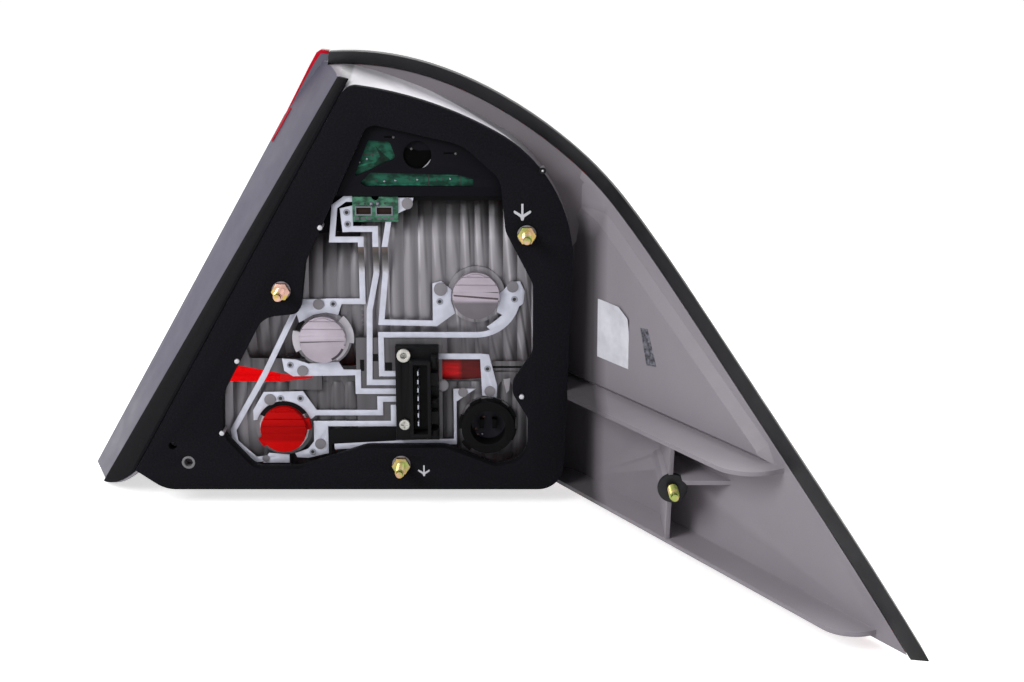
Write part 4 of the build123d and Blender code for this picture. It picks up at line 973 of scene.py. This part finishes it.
class LAMP_OT_holders(Operator):
    """Dress the bulb holders, the fog socket and the bulbs"""

    bl_idname = "lamp.holders"
    bl_label = "Bulb Holders"

    # In millimetres: radius that lines across a cap end at, and heights of the frame's grooves
    cap_reach = 13.9
    cut_grooves = (12.5, 7.4, 2.4, -2.8)
    # Lines of painted shade drawn across each cap: height, half heights of the left and right end, and slope
    painted_cap_lines = {
        "turn": ((9.8, 0.12, 0.45, -0.03), (3.3, 0.2, 0.6, -0.045), (-0.6, 0.5, 0.6, -0.08)),
        "reverse": ((10.2, 0.4, 0.45, 0.03), (4.2, 0.5, 0.65, 0.035), (-1.0, 0.45, 0.12, 0.025)),
        "tail": ((4.0, 0.2, 0.2, 0.02), (-2.0, 0.2, 0.2, 0.0)),
    }
    # Dark marks on the reverse cap: a painted shadow along the top of the lower pad, and two small dark marks
    # beside it
    notches_and_shadow = (
        ((-75.0, 69.5), (-67.0, 70.5), (-67.0, 69.3), (-75.0, 68.3)),
        ((-62.4, 69.4), (-59.2, 67.4), (-62.0, 66.8)),
        ((-45.0, 69.0), (-40.6, 70.4), (-43.4, 68.2)),
    )
    contact_points = ((51.0, 15.2),)
    contact_tips = ((51.8, 26.6), (46.8, 18.6), (47.9, 14.6))
    # Tabs round the fog socket: the angles that they start and end at, and their reach
    tabs = (
        (158.0, 186.0, 18.4), (214.0, 234.0, 20.0), (262.0, 280.0, 18.0), (328.0, 350.0, 18.0),
        (18.0, 42.0, 18.4), (62.0, 80.0, 18.2), (108.0, 124.0, 18.0),
    )
    tab_bore, tab_depth = 13.0, 8.4

    def execute(self, context):
        done = finishes()
        # Painted shade: the turn and reverse caps darker below a height
        silver = metallised("turn_cap_metal", tinted(done.cap, 0.88), 0.4, (0.1046, 0.36))
        pale = metallised("reverse_cap_metal", done.cap, 0.4, (0.0804, 0.82))
        red = moulded_plastic("holder_red", done.red_cap, 0.55, 0.05, 0.12, 0.06, self.tail_painted_light)
        turn_line_paint = moulded_plastic("turn_cap_line_shade", done.turn_line_shade, 0.5)
        reverse_line_paint = moulded_plastic("reverse_cap_line_shade", done.reverse_line_shade, 0.5)
        tail_line_paint = moulded_plastic("tail_cap_line_shade", done.tail_line_shade, 0.55, gloss=0.06)
        socket = moulded_plastic("fog_socket_black", tinted(done.black, 0.5), 0.5, gloss=0.05)
        softened("turn_holder", silver, sizes().edge)
        softened("reverse_holder", pale, sizes().edge)
        softened("tail_holder", red, sizes().edge)
        self.fog_socket(done, socket)
        self.bulbs(done)
        self.cap_face("turn", silver, turn_line_paint)
        self.cap_face("reverse", pale, reverse_line_paint)
        self.cap_face("tail", red, tail_line_paint)
        self.fog_parts(done, socket)
        black = moulded_plastic("socket_black", done.black, 0.42, gloss=0.06)
        front_plates("reverse_cap_notches_and_shadow", self.notches_and_shadow, CAP_FRONT + 3.0, 0.3, black, "socket_black")
        shade = moulded_plastic("cap_shade", done.cap_shade, 0.5, gloss=0.1)
        wedge = sector_outline(CAPS["reverse"], 12.9, 14.4, -66.0, -24.0)
        front_plates("reverse_cap_shade", [wedge], CAP_FRONT, 0.1, shade, "holder_silver")
        return {"FINISHED"}

    def cap_face(self, lamp, metal, line):
        """Closes the grooves of a cap and draws lines of painted shade across it."""
        bars = [self.chord(lamp, height, 1.2, 1.2) for height in self.cut_grooves]
        front_plates(lamp + "_cap_face", bars, CAP_FRONT + 0.6, 1.22, metal)
        lines = [self.chord(lamp, *place) for place in self.painted_cap_lines[lamp]]
        front_plates(lamp + "_cap_painted_lines", lines, CAP_FRONT, 0.12, line)

    def chord(self, lamp, height, left, right, lean=0.0):
        """Outline of a bar across a cap, with the half heights of its ends."""
        x, z = CAPS[lamp]
        low, high = (math.sqrt(self.cap_reach ** 2 - (height + side) ** 2) for side in (-left, left))
        return (
            (x - low, z + height - left - lean * low), (x + low, z + height - right + lean * low),
            (x + high, z + height + right + lean * high), (x - high, z + height + left - lean * high),
        )

    def tail_painted_light(self, tree):
        """Painted light and shade: brighter below, darkest across the middle."""
        middle = CAPS["tail"][1] * MM
        low = tree.fade("Z", 1.22, 0.80, middle - 0.0085, middle - 0.0065)
        return tree.math("MAXIMUM", low, tree.fade("Z", 0.80, 1.0, middle + 0.002, middle + 0.006))

    def fog_socket(self, done, black):
        dim = moulded_plastic("contact_dim", tinted(done.black, 0.5), 0.5, gloss=0.04)
        deep = moulded_plastic("socket_floor", done.socket_floor, 0.5, gloss=0.1)
        socket = softened("fog_socket", black, sizes().edge)
        repaint(socket, deep, lambda face: face.normal.y < -0.8 and face.center.y > 0.014)
        softened("fog_contacts", dim, sizes().strip_edge)

    def fog_parts(self, done, black):
        tin = tinned_strip("contact_point", done.tin)
        brown = moulded_plastic("contact_brown_tip", done.contact_tip, 0.4)
        domes("fog_contact_points", self.contact_points, 0.6, 0.6, FOG_FLOOR, tin)
        domes("fog_contact_tips", self.contact_tips, 1.3, 0.8, FOG_FLOOR, brown)
        tabs = []
        for start, end, reach in self.tabs:
            tabs.append(sector_outline(FOG_PLACE, self.tab_bore, reach, start, end, 6))
        front_plates("fog_rim_tabs", tabs, self.tab_depth, 1.6, black, "socket_black", 0.3)

    def bulbs(self, done):
        brass = plated_steel("bulb_brass", done.brass, tinted(done.brass, 0.8), done.brass)
        glass = bulb_glass("bulb_glass")
        for lamp in ("turn", "reverse", "tail", "fog"):
            dress(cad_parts[lamp + "_bulb_base"], brass)
            dress(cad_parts[lamp + "_bulb_glass"], glass)


class LAMP_OT_recesses(Operator):
    """Close the gaps between the reflectors, lay painted red light in the gaps and painted shade in the
    recesses behind the circuit
    """

    bl_idname = "lamp.recesses"
    bl_label = "Recesses"

    # Outlines in front view and, for rectangles, their left, right, low and high limits
    upper_fill = (
        (-114.0, 61.0), (-99.5, 58.9), (-86.9, 56.6), (-74.3, 53.9), (-56.8, 52.3), (-50.0, 51.8),
        (-50.0, 64.0), (-96.0, 64.5), (-99.0, 74.0), (-114.0, 74.0),
    )
    lower_fill = (
        (-120.0, 48.8), (-107.9, 48.3), (-87.2, 48.3), (-71.2, 49.6), (-56.9, 51.2), (-50.0, 51.4),
        (-50.0, 42.0), (-120.0, 42.0),
    )
    low_fill = ((18.0, 50.6), (36.0, 50.2), (53.0, 51.2), (53.0, 44.0), (18.0, 44.0))
    right_fill, right_seam = (57.0, 93.0, 48.0, 62.5), (57.0, 93.0, 58.0, 59.3)
    top_fill, red_gap = (-22.0, 74.0, 166.8, 174.0), (18.0, 53.0, 49.0, 65.5)
    painted_sliver = ((-76.2, 56.4), (-55.8, 55.4), (-55.8, 53.8), (-70.1, 52.1), (-76.4, 51.1))
    tail_recess = (
        (-47.2, 19.9), (-3.5, 22.2), (-3.7, 12.4), (-26.9, 10.1), (-44.8, 9.6), (-45.0, 1.6), (-47.7, 1.6),
    )
    small_recesses = ((-25.6, -23.1, 58.4, 65.7), (-17.6, -14.2, 64.8, 69.4), (-9.8, -5.5, 56.5, 63.9))
    # Lamp, inner and outer radius, and the angles that the face starts and ends at
    neck_arcs = (
        ("reverse", 14.4, 19.4, -10.0, 48.0), ("reverse", 14.4, 16.6, -60.0, -10.0),
        ("reverse", 14.4, 19.4, 165.0, 208.0), ("tail", 14.6, 15.8, 150.0, 396.0),
    )
    boss = (26.2, 48.8)
    ear = ((64.5, 53.0), (68.9, 53.6), (68.2, 45.7), (66.4, 43.7))

    def execute(self, context):
        done = finishes()
        # Painted shade: dark plates in the recesses behind the strips, along the right seam and behind the
        # top gap
        black = moulded_plastic("recess_painted_shade", done.black, 0.6, gloss=0.06)
        # Painted shade: the plates that fill the gaps are a darker copy of the lower reflector
        dim = fluted_metal("fill_flutes_painted_shade", tinted(done.silver, 0.7), LOWER_FLUTES, 0.14, self.fill_painted_shade)
        # Painted light: the thin red band below the reverse lamp's strip
        red = moulded_plastic("sliver_painted_light", done.painted_sliver, 0.4, gloss=0.1)
        # Painted light: the lens's red in the right gap, lit in the middle
        glow = gap_painted_light("gap_painted_light", done.gap_bright, done.gap_dark)
        pale = metallised("neck_pale", tinted(done.silver, 2.1), 0.5)
        light = metallised("boss_grey", tinted(done.silver, 1.2), 0.5)
        plates = (
            ("gap_fill_upper", [self.upper_fill], BEHIND_GAPS, 0.6, dim, "reflector_silver"),
            ("gap_fill_lower", [self.lower_fill], BEHIND_GAPS, 0.6, dim, "reflector_silver"),
            ("gap_fill_right", boxes([self.right_fill]), BEHIND_GAPS, 0.6, dim, "reflector_silver"),
            ("gap_seam_right", boxes([self.right_seam]), BEHIND_GAPS - 0.35, 0.2, black, "socket_black"),
            ("gap_fill_top", boxes([self.top_fill]), BEHIND_TOP, 0.6, black, "socket_black"),
            ("gap_painted_light", boxes([self.red_gap]), BEHIND_GAPS + 1.0, 0.4, glow, "lens_red"),
            ("gap_fill_low", [self.low_fill], BEHIND_GAPS + 0.4, 0.6, dim, "reflector_silver"),
            ("circuit_recesses", self.recesses(), BEHIND_STRIPS, 0.2, black, "socket_black"),
            ("neck_faces", self.necks(), BEHIND_STRIPS - 0.15, 0.3, pale, "reflector_silver"),
            ("gap_sliver", [self.painted_sliver], BEHIND_STRIPS, 0.2, red, "lens_red"),
        )
        for plate in plates:
            front_plates(*plate)
        domes("reflector_boss", [self.boss], 4.0, 0.8, BEHIND_STRIPS, light)
        front_plates("reflector_ear", [self.ear], BEHIND_STRIPS, 0.4, light, "reflector_silver")
        return {"FINISHED"}

    def fill_painted_shade(self, tree):
        """Painted shade: darker away from the gap."""
        return tree.fade("Z", 1.0, 0.7, 0.052, 0.070)

    def recesses(self):
        """Outlines of the painted shade in the recesses behind the strips."""
        tail = sector_outline(CAPS["tail"], 14.8, 17.4, 35.0, 150.0)
        reverse = sector_outline(CAPS["reverse"], 15.2, 18.2, 137.0, 163.0)
        return [self.tail_recess, *boxes(self.small_recesses), tail, reverse]

    def necks(self):
        """Outlines of the pale faces round two of the holders."""
        return [sector_outline(CAPS[lamp], *limits) for lamp, *limits in self.neck_arcs]


class LAMP_OT_connector(Operator):
    """Dress the connector, its pins and its screws, and add its latches and collar"""

    bl_idname = "lamp.connector"
    bl_label = "Connector"

    # In millimetres: low and high end of each latch, and their middle and size in x and y
    latch_ends = ((64.0, 72.0), (52.0, 56.0), (40.5, 44.0), (17.5, 24.0))
    latch_middle, latch_size = (21.8, 1.6), (4.2, 6.6)

    def execute(self, context):
        done = finishes()
        black = moulded_plastic("connector_black", done.black, 0.4, gloss=0.06)
        plated = plated_steel("screw_steel", done.steel, tinted(done.steel, 0.8), tinted(done.steel, 1.2))
        softened("connector_body", black, sizes().edge)
        softened("connector_blades", tinned_strip("blade_tin", done.tin), sizes().strip_edge)
        softened("connector_screws", plated, sizes().strip_edge)
        latches = [self.latch(low, high) for low, high in self.latch_ends]
        settle(joined("connector_latches", latches), black)
        collar = [round_outline(CONNECTOR_POST, 4.0), round_outline(CONNECTOR_POST, 2.3)]
        front_plates("connector_post_collar", collar, GASKET_FRONT - 1.0, 1.0, plated, "screw_steel", 0.3)
        return {"FINISHED"}

    def latch(self, low, high):
        """Block with a smaller front that leans to the left."""
        hook = added(bpy.ops.mesh.primitive_cube_add, size=1.0)
        middle = Vector((*self.latch_middle, (low + high) / 2))
        stretch = Matrix.Diagonal((*self.latch_size, high - low, 1.0))
        reshape(hook, Matrix.Scale(MM, 4) @ Matrix.Translation(middle) @ stretch)
        pick(hook, "FACE", lambda face: face.normal.y < -0.9)
        bpy.ops.mesh.inset(thickness=0.0009)
        bpy.ops.transform.translate(value=(-0.0008, -0.0012, 0.0))
        bpy.ops.mesh.select_all(action="SELECT")
        bpy.ops.mesh.bevel(offset=0.0003, segments=2, affect="EDGES")
        leave_edit()
        return hook


class LAMP_OT_stop_lamp(Operator):
    """Dress the stop lamp and fit the small parts of its boards"""

    bl_idname = "lamp.stop_lamp"
    bl_label = "Stop Lamp"

    # Outlines and places in front view and, for rectangles, their left, right, low and high limits
    backing = ((-60.0, 145.0), (-23.0, 149.0), (-23.0, 174.0), (-50.0, 176.0))
    port_radius = 10.6
    cover_slots = ((-7.2, -2.6, 206.6, 207.8), (28.6, 34.6, 196.8, 197.8))
    cover_pins = ((-1.6, 207.0), (36.0, 197.0), (9.2, 200.0))
    solder = ((-7.8, 179.6), (12.3, 180.6), (32.4, 181.0), (-18.2, 193.3), (-22.9, 191.4), (-1.0, 180.0))
    bores = ((-13.0, 180.2), (7.6, 180.7), (28.0, 181.0), (-17.6, 200.3), (24.2, 180.6), (-14.5, 195.4))
    slits = ((18.8, 19.5, 175.0, 186.0), (38.6, 39.2, 175.0, 186.0))
    slanting_slit = ((-23.0, 195.6), (-22.7, 196.2), (-9.0, 197.3), (-9.0, 196.6))
    tracks = (
        (-14.0, 17.0, 177.2, 178.0), (21.0, 37.0, 183.0, 183.8), (28.2, 30.6, 176.4, 177.6),
        (32.6, 35.2, 176.4, 177.6),
    )
    slanting_track = ((-26.0, 188.6), (-25.4, 187.8), (-14.0, 191.0), (-14.4, 192.0))
    shaded_corner = (
        (-13.0, 201.5), (-8.4, 197.0), (-2.0, 191.0), (-6.0, 187.0), (-14.0, 190.0), (-10.0, 195.0),
    )
    feed_windows = ((-25.2, -16.2, 159.65, 163.85), (-12.6, -3.6, 159.65, 163.85))
    window_frame = 0.7
    feed_pads = (-26.2, -22.4, -18.6, -12.4, -8.6, -4.8)
    feed_springs = ((-15.9, 166.2), (-11.9, 166.2))
    feed_holes = ((-23.6, 166.3), (-19.6, 166.3), (-7.4, 166.5), (-3.0, 166.5))

    def execute(self, context):
        done = finishes()
        black = moulded_plastic("cover_black", tinted(done.foam, 1.1), 0.7, gloss=0.04)
        softened("led_cover", black, sizes().strip_edge)
        green = lacquered_board("board_green", done.board)
        pale = lacquered_board("feed_green", done.feed)
        softened("led_board", green, sizes().strip_edge)
        softened("led_feed_board", pale, sizes().strip_edge)
        dress(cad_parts["stop_leds"], lens_plastic("lamp_red", done.red_lens, 0.6, 0.1))
        front_plates("strip_backing", [self.backing], BEHIND_TOP, 1.0, black, "socket_black")
        self.port(done, black)
        self.board_parts(done)
        self.feed_parts(done)
        return {"FINISHED"}

    def port(self, done, black):
        # Painted shade in the port and in the cover's slots, and a painted highlight on the rim's lower right
        hole = moulded_plastic("port_black", tinted(done.black, 0.2), 0.6, gloss=0.02)
        rim = moulded_plastic("port_rim", done.port_rim, 0.4)
        pins = moulded_plastic("cover_pin", done.cover_pin, 0.35)
        floor = round_outline(PORT_PLACE, self.port_radius + 0.8, 48)
        shade = sector_outline(PORT_PLACE, 0.05, self.port_radius, 166.0, 362.0, 32)
        front_plates("port_floor", [floor], COVER_FRONT + 2.4, 0.6, black, "socket_black")
        front_plates("port_shade", [shade], COVER_FRONT + 2.0, 0.2, hole, "socket_black")
        front_plates("port_rim", [self.crescent()], COVER_FRONT + 0.4, 0.4, rim, "socket_black")
        front_plates("cover_slots", boxes(self.cover_slots), COVER_FRONT - 0.02, 0.1, hole, "socket_black")
        domes("cover_pins", self.cover_pins, 0.9, 0.9, COVER_FRONT, pins)

    def crescent(self, count=14, broad=1.3):
        """Outline of the lit part of the port's rim, at its lower right."""
        shares = [index / count for index in range(count + 1)]
        angles = [math.radians(-75.0 + 70.0 * share) for share in shares]
        outline = arc(PORT_PLACE, self.port_radius, angles)
        for share, angle in reversed(list(zip(shares[1:-1], angles[1:-1]))):
            outline += arc(PORT_PLACE, self.port_radius - broad * math.sin(math.pi * share), [angle])
        return outline

    def board_parts(self, done):
        solder = tinned_strip("solder", tinted(done.tin, 0.45), 0.8, 0.25)
        # Painted shade: the board's holes and slits darkened
        hole = moulded_plastic("board_hole", done.black, 0.6)
        light = lacquered_board("track_green", tinted(done.board, 1.9))
        dusk = lacquered_board("shaded_green", tinted(done.board, 0.3))
        domes("board_solder", self.solder, 0.75, 0.45, BOARD_FRONT, solder)
        holes = [*rounds(self.bores, 0.7, 14), *boxes(self.slits), self.slanting_slit]
        front_plates("board_holes", holes, BOARD_FRONT - 0.04, 0.1, hole)
        front_plates("board_shade", [self.shaded_corner], BOARD_FRONT - 0.1, 0.1, dusk, "board_green")
        tracks = [*boxes(self.tracks), self.slanting_track]
        front_plates("board_tracks", tracks, BOARD_FRONT - 0.06, 0.12, light, "board_green")

    def feed_parts(self, done):
        brown = moulded_plastic("contact_brown", done.rust, 0.6, gloss=0.05)
        tin = tinned_strip("frame_tin", tinted(done.tin, 0.32), 0.5)
        dull = tinned_strip("pad_tin", tinted(done.tin, 0.16), 0.5)
        # Painted shade: the feed board's holes darkened
        dark = moulded_plastic("feed_hole", done.black, 0.6)
        inner, rim = boxes(self.feed_windows), self.window_frame
        outer = boxes((a - rim, b + rim, c - rim, d + rim) for a, b, c, d in self.feed_windows)
        front_plates("feed_frames", outer + inner, FEED_FRONT - 0.1, 0.3, tin, "circuit_metal")
        front_plates("feed_contacts", inner, FEED_FRONT + 1.3, 0.3, brown)
        pads = boxes((left, left + 2.6, 156.3, 158.0) for left in self.feed_pads)
        front_plates("feed_pads", pads, FEED_FRONT - 0.05, 0.15, dull, "circuit_metal")
        domes("feed_springs", self.feed_springs, 1.3, 1.4, FEED_FRONT, tin)
        front_plates("feed_holes", rounds(self.feed_holes, 0.75, 14), FEED_FRONT - 0.04, 0.1, dark)


class LAMP_OT_studs(Operator):
    """Thread the studs and dress them and the washer"""

    bl_idname = "lamp.studs"
    bl_label = "Studs"

    # Depths in millimetres where the thread starts and where the shank ends
    front_reach, wing_reach = (-16.5, -4.0), (-111.5, -99.0)

    def execute(self, context):
        done = finishes()
        zinc = plated_steel("stud_zinc", done.zinc, done.blush, done.moss)
        pink = plated_steel("stud_pink", done.blush, tinted(done.blush, 1.25), done.zinc)
        for node, place in STUDS.items():
            self.stud(node, place, *self.front_reach, pink if node == "stud_inboard" else zinc)
        self.stud("wing_stud", WING_STUD, *self.wing_reach, zinc)
        softened("wing_washer", soft_rubber("washer_rubber", done.rubber), sizes().edge)
        return {"FINISHED"}

    def stud(self, node, place, start, seat, metal):
        x, z = place[0] * MM, place[1] * MM
        root = 1.0 - sizes().thread_depth / (STUD_RADIUS * MM)

        def is_shank(point):
            reach = math.hypot(point.co.x - x, point.co.z - z)
            return abs(reach - STUD_RADIUS * MM) < 0.1 * MM and point.co.y < (seat + 0.1) * MM

        def thin_shank(piece):
            pick(piece, "VERT", is_shank)
            bpy.ops.transform.resize(value=(root, 1.0, root), center_override=(x, 0.0, z))
            leave_edit()

        softened(node, metal, sizes().stud_edge, shape=thin_shank)
        self.thread(node + "_thread", (x, start * MM, z), metal)

    def thread(self, name, place, metal):
        ridge = sizes().thread_depth / 1.5
        coil = added(bpy.ops.mesh.primitive_circle_add, vertices=3, radius=ridge, fill_type="NOTHING")
        coil.name = name
        lit_crest = Matrix.Translation((STUD_RADIUS * MM - ridge, 0.0, 0.0))
        reshape(coil, lit_crest @ Matrix.Rotation(-math.pi / 2, 4, "Z"))
        screw = coil.modifiers.new("Thread", "SCREW")
        screw.axis = "Y"
        screw.steps = 20
        screw.render_steps = 20
        screw.screw_offset = sizes().thread_pitch
        screw.iterations = sizes().turns
        screw.use_smooth_shade = False
        bpy.ops.object.modifier_apply(modifier=screw.name)
        edit_all(coil)
        bpy.ops.mesh.fill_holes(sides=0)
        leave_edit()
        reshape(coil, Matrix.Translation(place))
        settle(coil, metal, 40.0)


class LAMP_OT_labels(Operator):
    """Lay the blank label and the blank foil plate on the wing"""

    bl_idname = "lamp.labels"
    bl_label = "Labels"

    # On the wing's plane in millimetres: foil, middle and size of the label, and its cut corner
    foil_outline = ((-51.8, 99.1), (-44.4, 100.1), (-34.9, 79.3), (-44.6, 77.8))
    label_middle, label_size = (-80.8, 89.1), (34.2, 36.8)
    cut_place, cut_way = (-73.4, 107.5), (5.4, 9.9)
    # The corner lifts off in steps: where the first starts, how broad each is and how far it lifts
    lift_steps, lift_start, lift_broad = 6, -9.0, 1.6
    first_lift, more_lift = 0.09, 0.05

    def execute(self, context):
        foil = mottled_foil("blank_foil", finishes().foil)
        cut_plates("wing_foil", [self.foil_outline], wing_plane(PAD_FACE + 0.12), 0.2, foil)
        self.label(coated_paper("blank_label", finishes().paper))
        return {"FINISHED"}

    def label(self, paper):
        plane = wing_plane(PAD_FACE + 0.2)
        piece = added(bpy.ops.mesh.primitive_grid_add, x_subdivisions=20, y_subdivisions=20, size=1.0)
        piece.name = "wing_label"
        stretch = Matrix.Diagonal((*self.label_size, 1.0, 1.0))
        reshape(piece, plane @ Matrix.Translation((*self.label_middle, 0.0)) @ stretch)
        along, up = self.cut_way
        corner = (along * WING_ALONG + Vector((0.0, 0.0, up))).normalized()
        cut = plane @ Vector((*self.cut_place, 0.0))
        edit_all(piece)
        bpy.ops.mesh.bisect(plane_co=cut, plane_no=corner, clear_outer=True)
        leave_edit()
        for index in range(self.lift_steps):
            limit = (self.lift_start + self.lift_broad * index) * MM
            lift = (self.first_lift + self.more_lift * index) * MM
            pick(piece, "VERT", lambda point: (point.co - cut).dot(corner) > limit)
            bpy.ops.transform.translate(value=-WING_ACROSS * lift)
            leave_edit()
        wall = piece.modifiers.new("Paper", "SOLIDIFY")
        wall.thickness = sizes().label_thick
        wall.offset = 0.0
        bpy.ops.object.modifier_apply(modifier=wall.name)
        settle(piece, paper)


def area_lamp(name, place, target, size, power):
    """Soft square lamp that faces a point."""
    bpy.ops.object.light_add(type="AREA", location=place)
    lamp = bpy.context.object
    lamp.name = name
    lamp.data.size = size
    lamp.data.energy = power
    lamp.rotation_euler = (Vector(target) - lamp.location).to_track_quat("-Z", "Y").to_euler()


class LAMP_OT_stage(Operator):
    """Set up floor, light and camera"""

    bl_idname = "lamp.stage"
    bl_label = "Stage"

    def execute(self, context):
        stage = context.scene.lamp_stage
        context.scene.view_settings.view_transform = "Standard"
        self.world(context, stage)
        self.floor(stage)
        middle = (0.04, -0.05, 0.10)
        area_lamp("key_lamp", (-0.95, -1.05, 0.95), middle, 0.7, stage.key)
        area_lamp("fill_lamp", (1.3, -1.2, 0.7), middle, 1.2, stage.fill)
        area_lamp("top_lamp", (0.05, 0.75, 1.15), middle, 0.8, stage.top)
        bpy.ops.object.camera_add(location=stage.camera_place, rotation=(stage.camera_tilt, 0.0, 0.0))
        camera = context.object
        camera.data.lens = stage.lens_mm
        camera.data.sensor_width = 36.0
        camera.data.clip_start = 0.01
        context.scene.camera = camera
        return {"FINISHED"}

    def world(self, context, stage):
        world = bpy.data.worlds.new("studio_sky")
        context.scene.world = world
        tree = Nodes(world)
        white = (1.0, 1.0, 1.0, 1.0)
        light = tree.nodes["Background"]
        light.inputs["Color"].default_value = white
        light.inputs["Strength"].default_value = stage.sky
        shown = tree.add("Background", 0, {"Color": white, "Strength": 1.0})
        mix = tree.add("MixShader", 0, {"Fac": tree.shown_ray(), 1: light.outputs[0], 2: shown})
        tree.links.new(mix, tree.nodes["World Output"].inputs["Surface"])

    def floor(self, stage):
        place = (0.0, 4.0, CAD_BOX[0].z - 0.0005)
        floor = added(bpy.ops.mesh.primitive_plane_add, size=24.0, location=place)
        floor.name = "studio_floor"
        tree = Tree("floor_white")
        tree.set(Base_Color=(0.82, 0.82, 0.82, 1.0), Roughness=0.9, Specular_IOR_Level=0.1)
        plain = tree.shader.outputs[0]
        glow = tree.add("Emission", 0, {"Strength": stage.floor_glow})
        both = tree.add("AddShader", 0, {0: plain, 1: glow})
        mix = tree.add("MixShader", 0, {"Fac": tree.shown_ray(), 1: plain, 2: both})
        tree.links.new(mix, tree.nodes["Material Output"].inputs["Surface"])
        dress(floor, tree.material)


STEPS = (
    LAMP_OT_housing, LAMP_OT_lens, LAMP_OT_gasket, LAMP_OT_seal, LAMP_OT_reflectors, LAMP_OT_circuit,
    LAMP_OT_holders, LAMP_OT_recesses, LAMP_OT_connector, LAMP_OT_stop_lamp, LAMP_OT_studs, LAMP_OT_labels,
    LAMP_OT_stage,
)


class LAMP_PT_panel(Panel):
    """Sidebar list of the lamp's pieces"""

    bl_idname = "LAMP_PT_panel"
    bl_label = "Tail Light"
    bl_space_type = "VIEW_3D"
    bl_region_type = "UI"
    bl_category = "Tail Light"

    def draw(self, context):
        for step in STEPS:
            self.layout.operator(step.bl_idname)
        for group in (context.scene.lamp_sizes, context.scene.lamp_finishes, context.scene.lamp_stage):
            box = self.layout.box()
            for name in group.__annotations__:
                box.prop(group, name)


GROUPS = {"lamp_finishes": LampFinishes, "lamp_sizes": LampSizes, "lamp_stage": LampStage}


def register():
    for name, group in GROUPS.items():
        bpy.utils.register_class(group)
        setattr(bpy.types.Scene, name, PointerProperty(type=group))
    for step in STEPS:
        bpy.utils.register_class(step)
    bpy.utils.register_class(LAMP_PT_panel)


def unregister():
    bpy.utils.unregister_class(LAMP_PT_panel)
    for step in reversed(STEPS):
        bpy.utils.unregister_class(step)
    for name, group in GROUPS.items():
        delattr(bpy.types.Scene, name)
        bpy.utils.unregister_class(group)


def main():
    register()
    for step in STEPS:
        family, name = step.bl_idname.split(".")
        getattr(getattr(bpy.ops, family), name)()


if __name__ == "__main__":
    main()
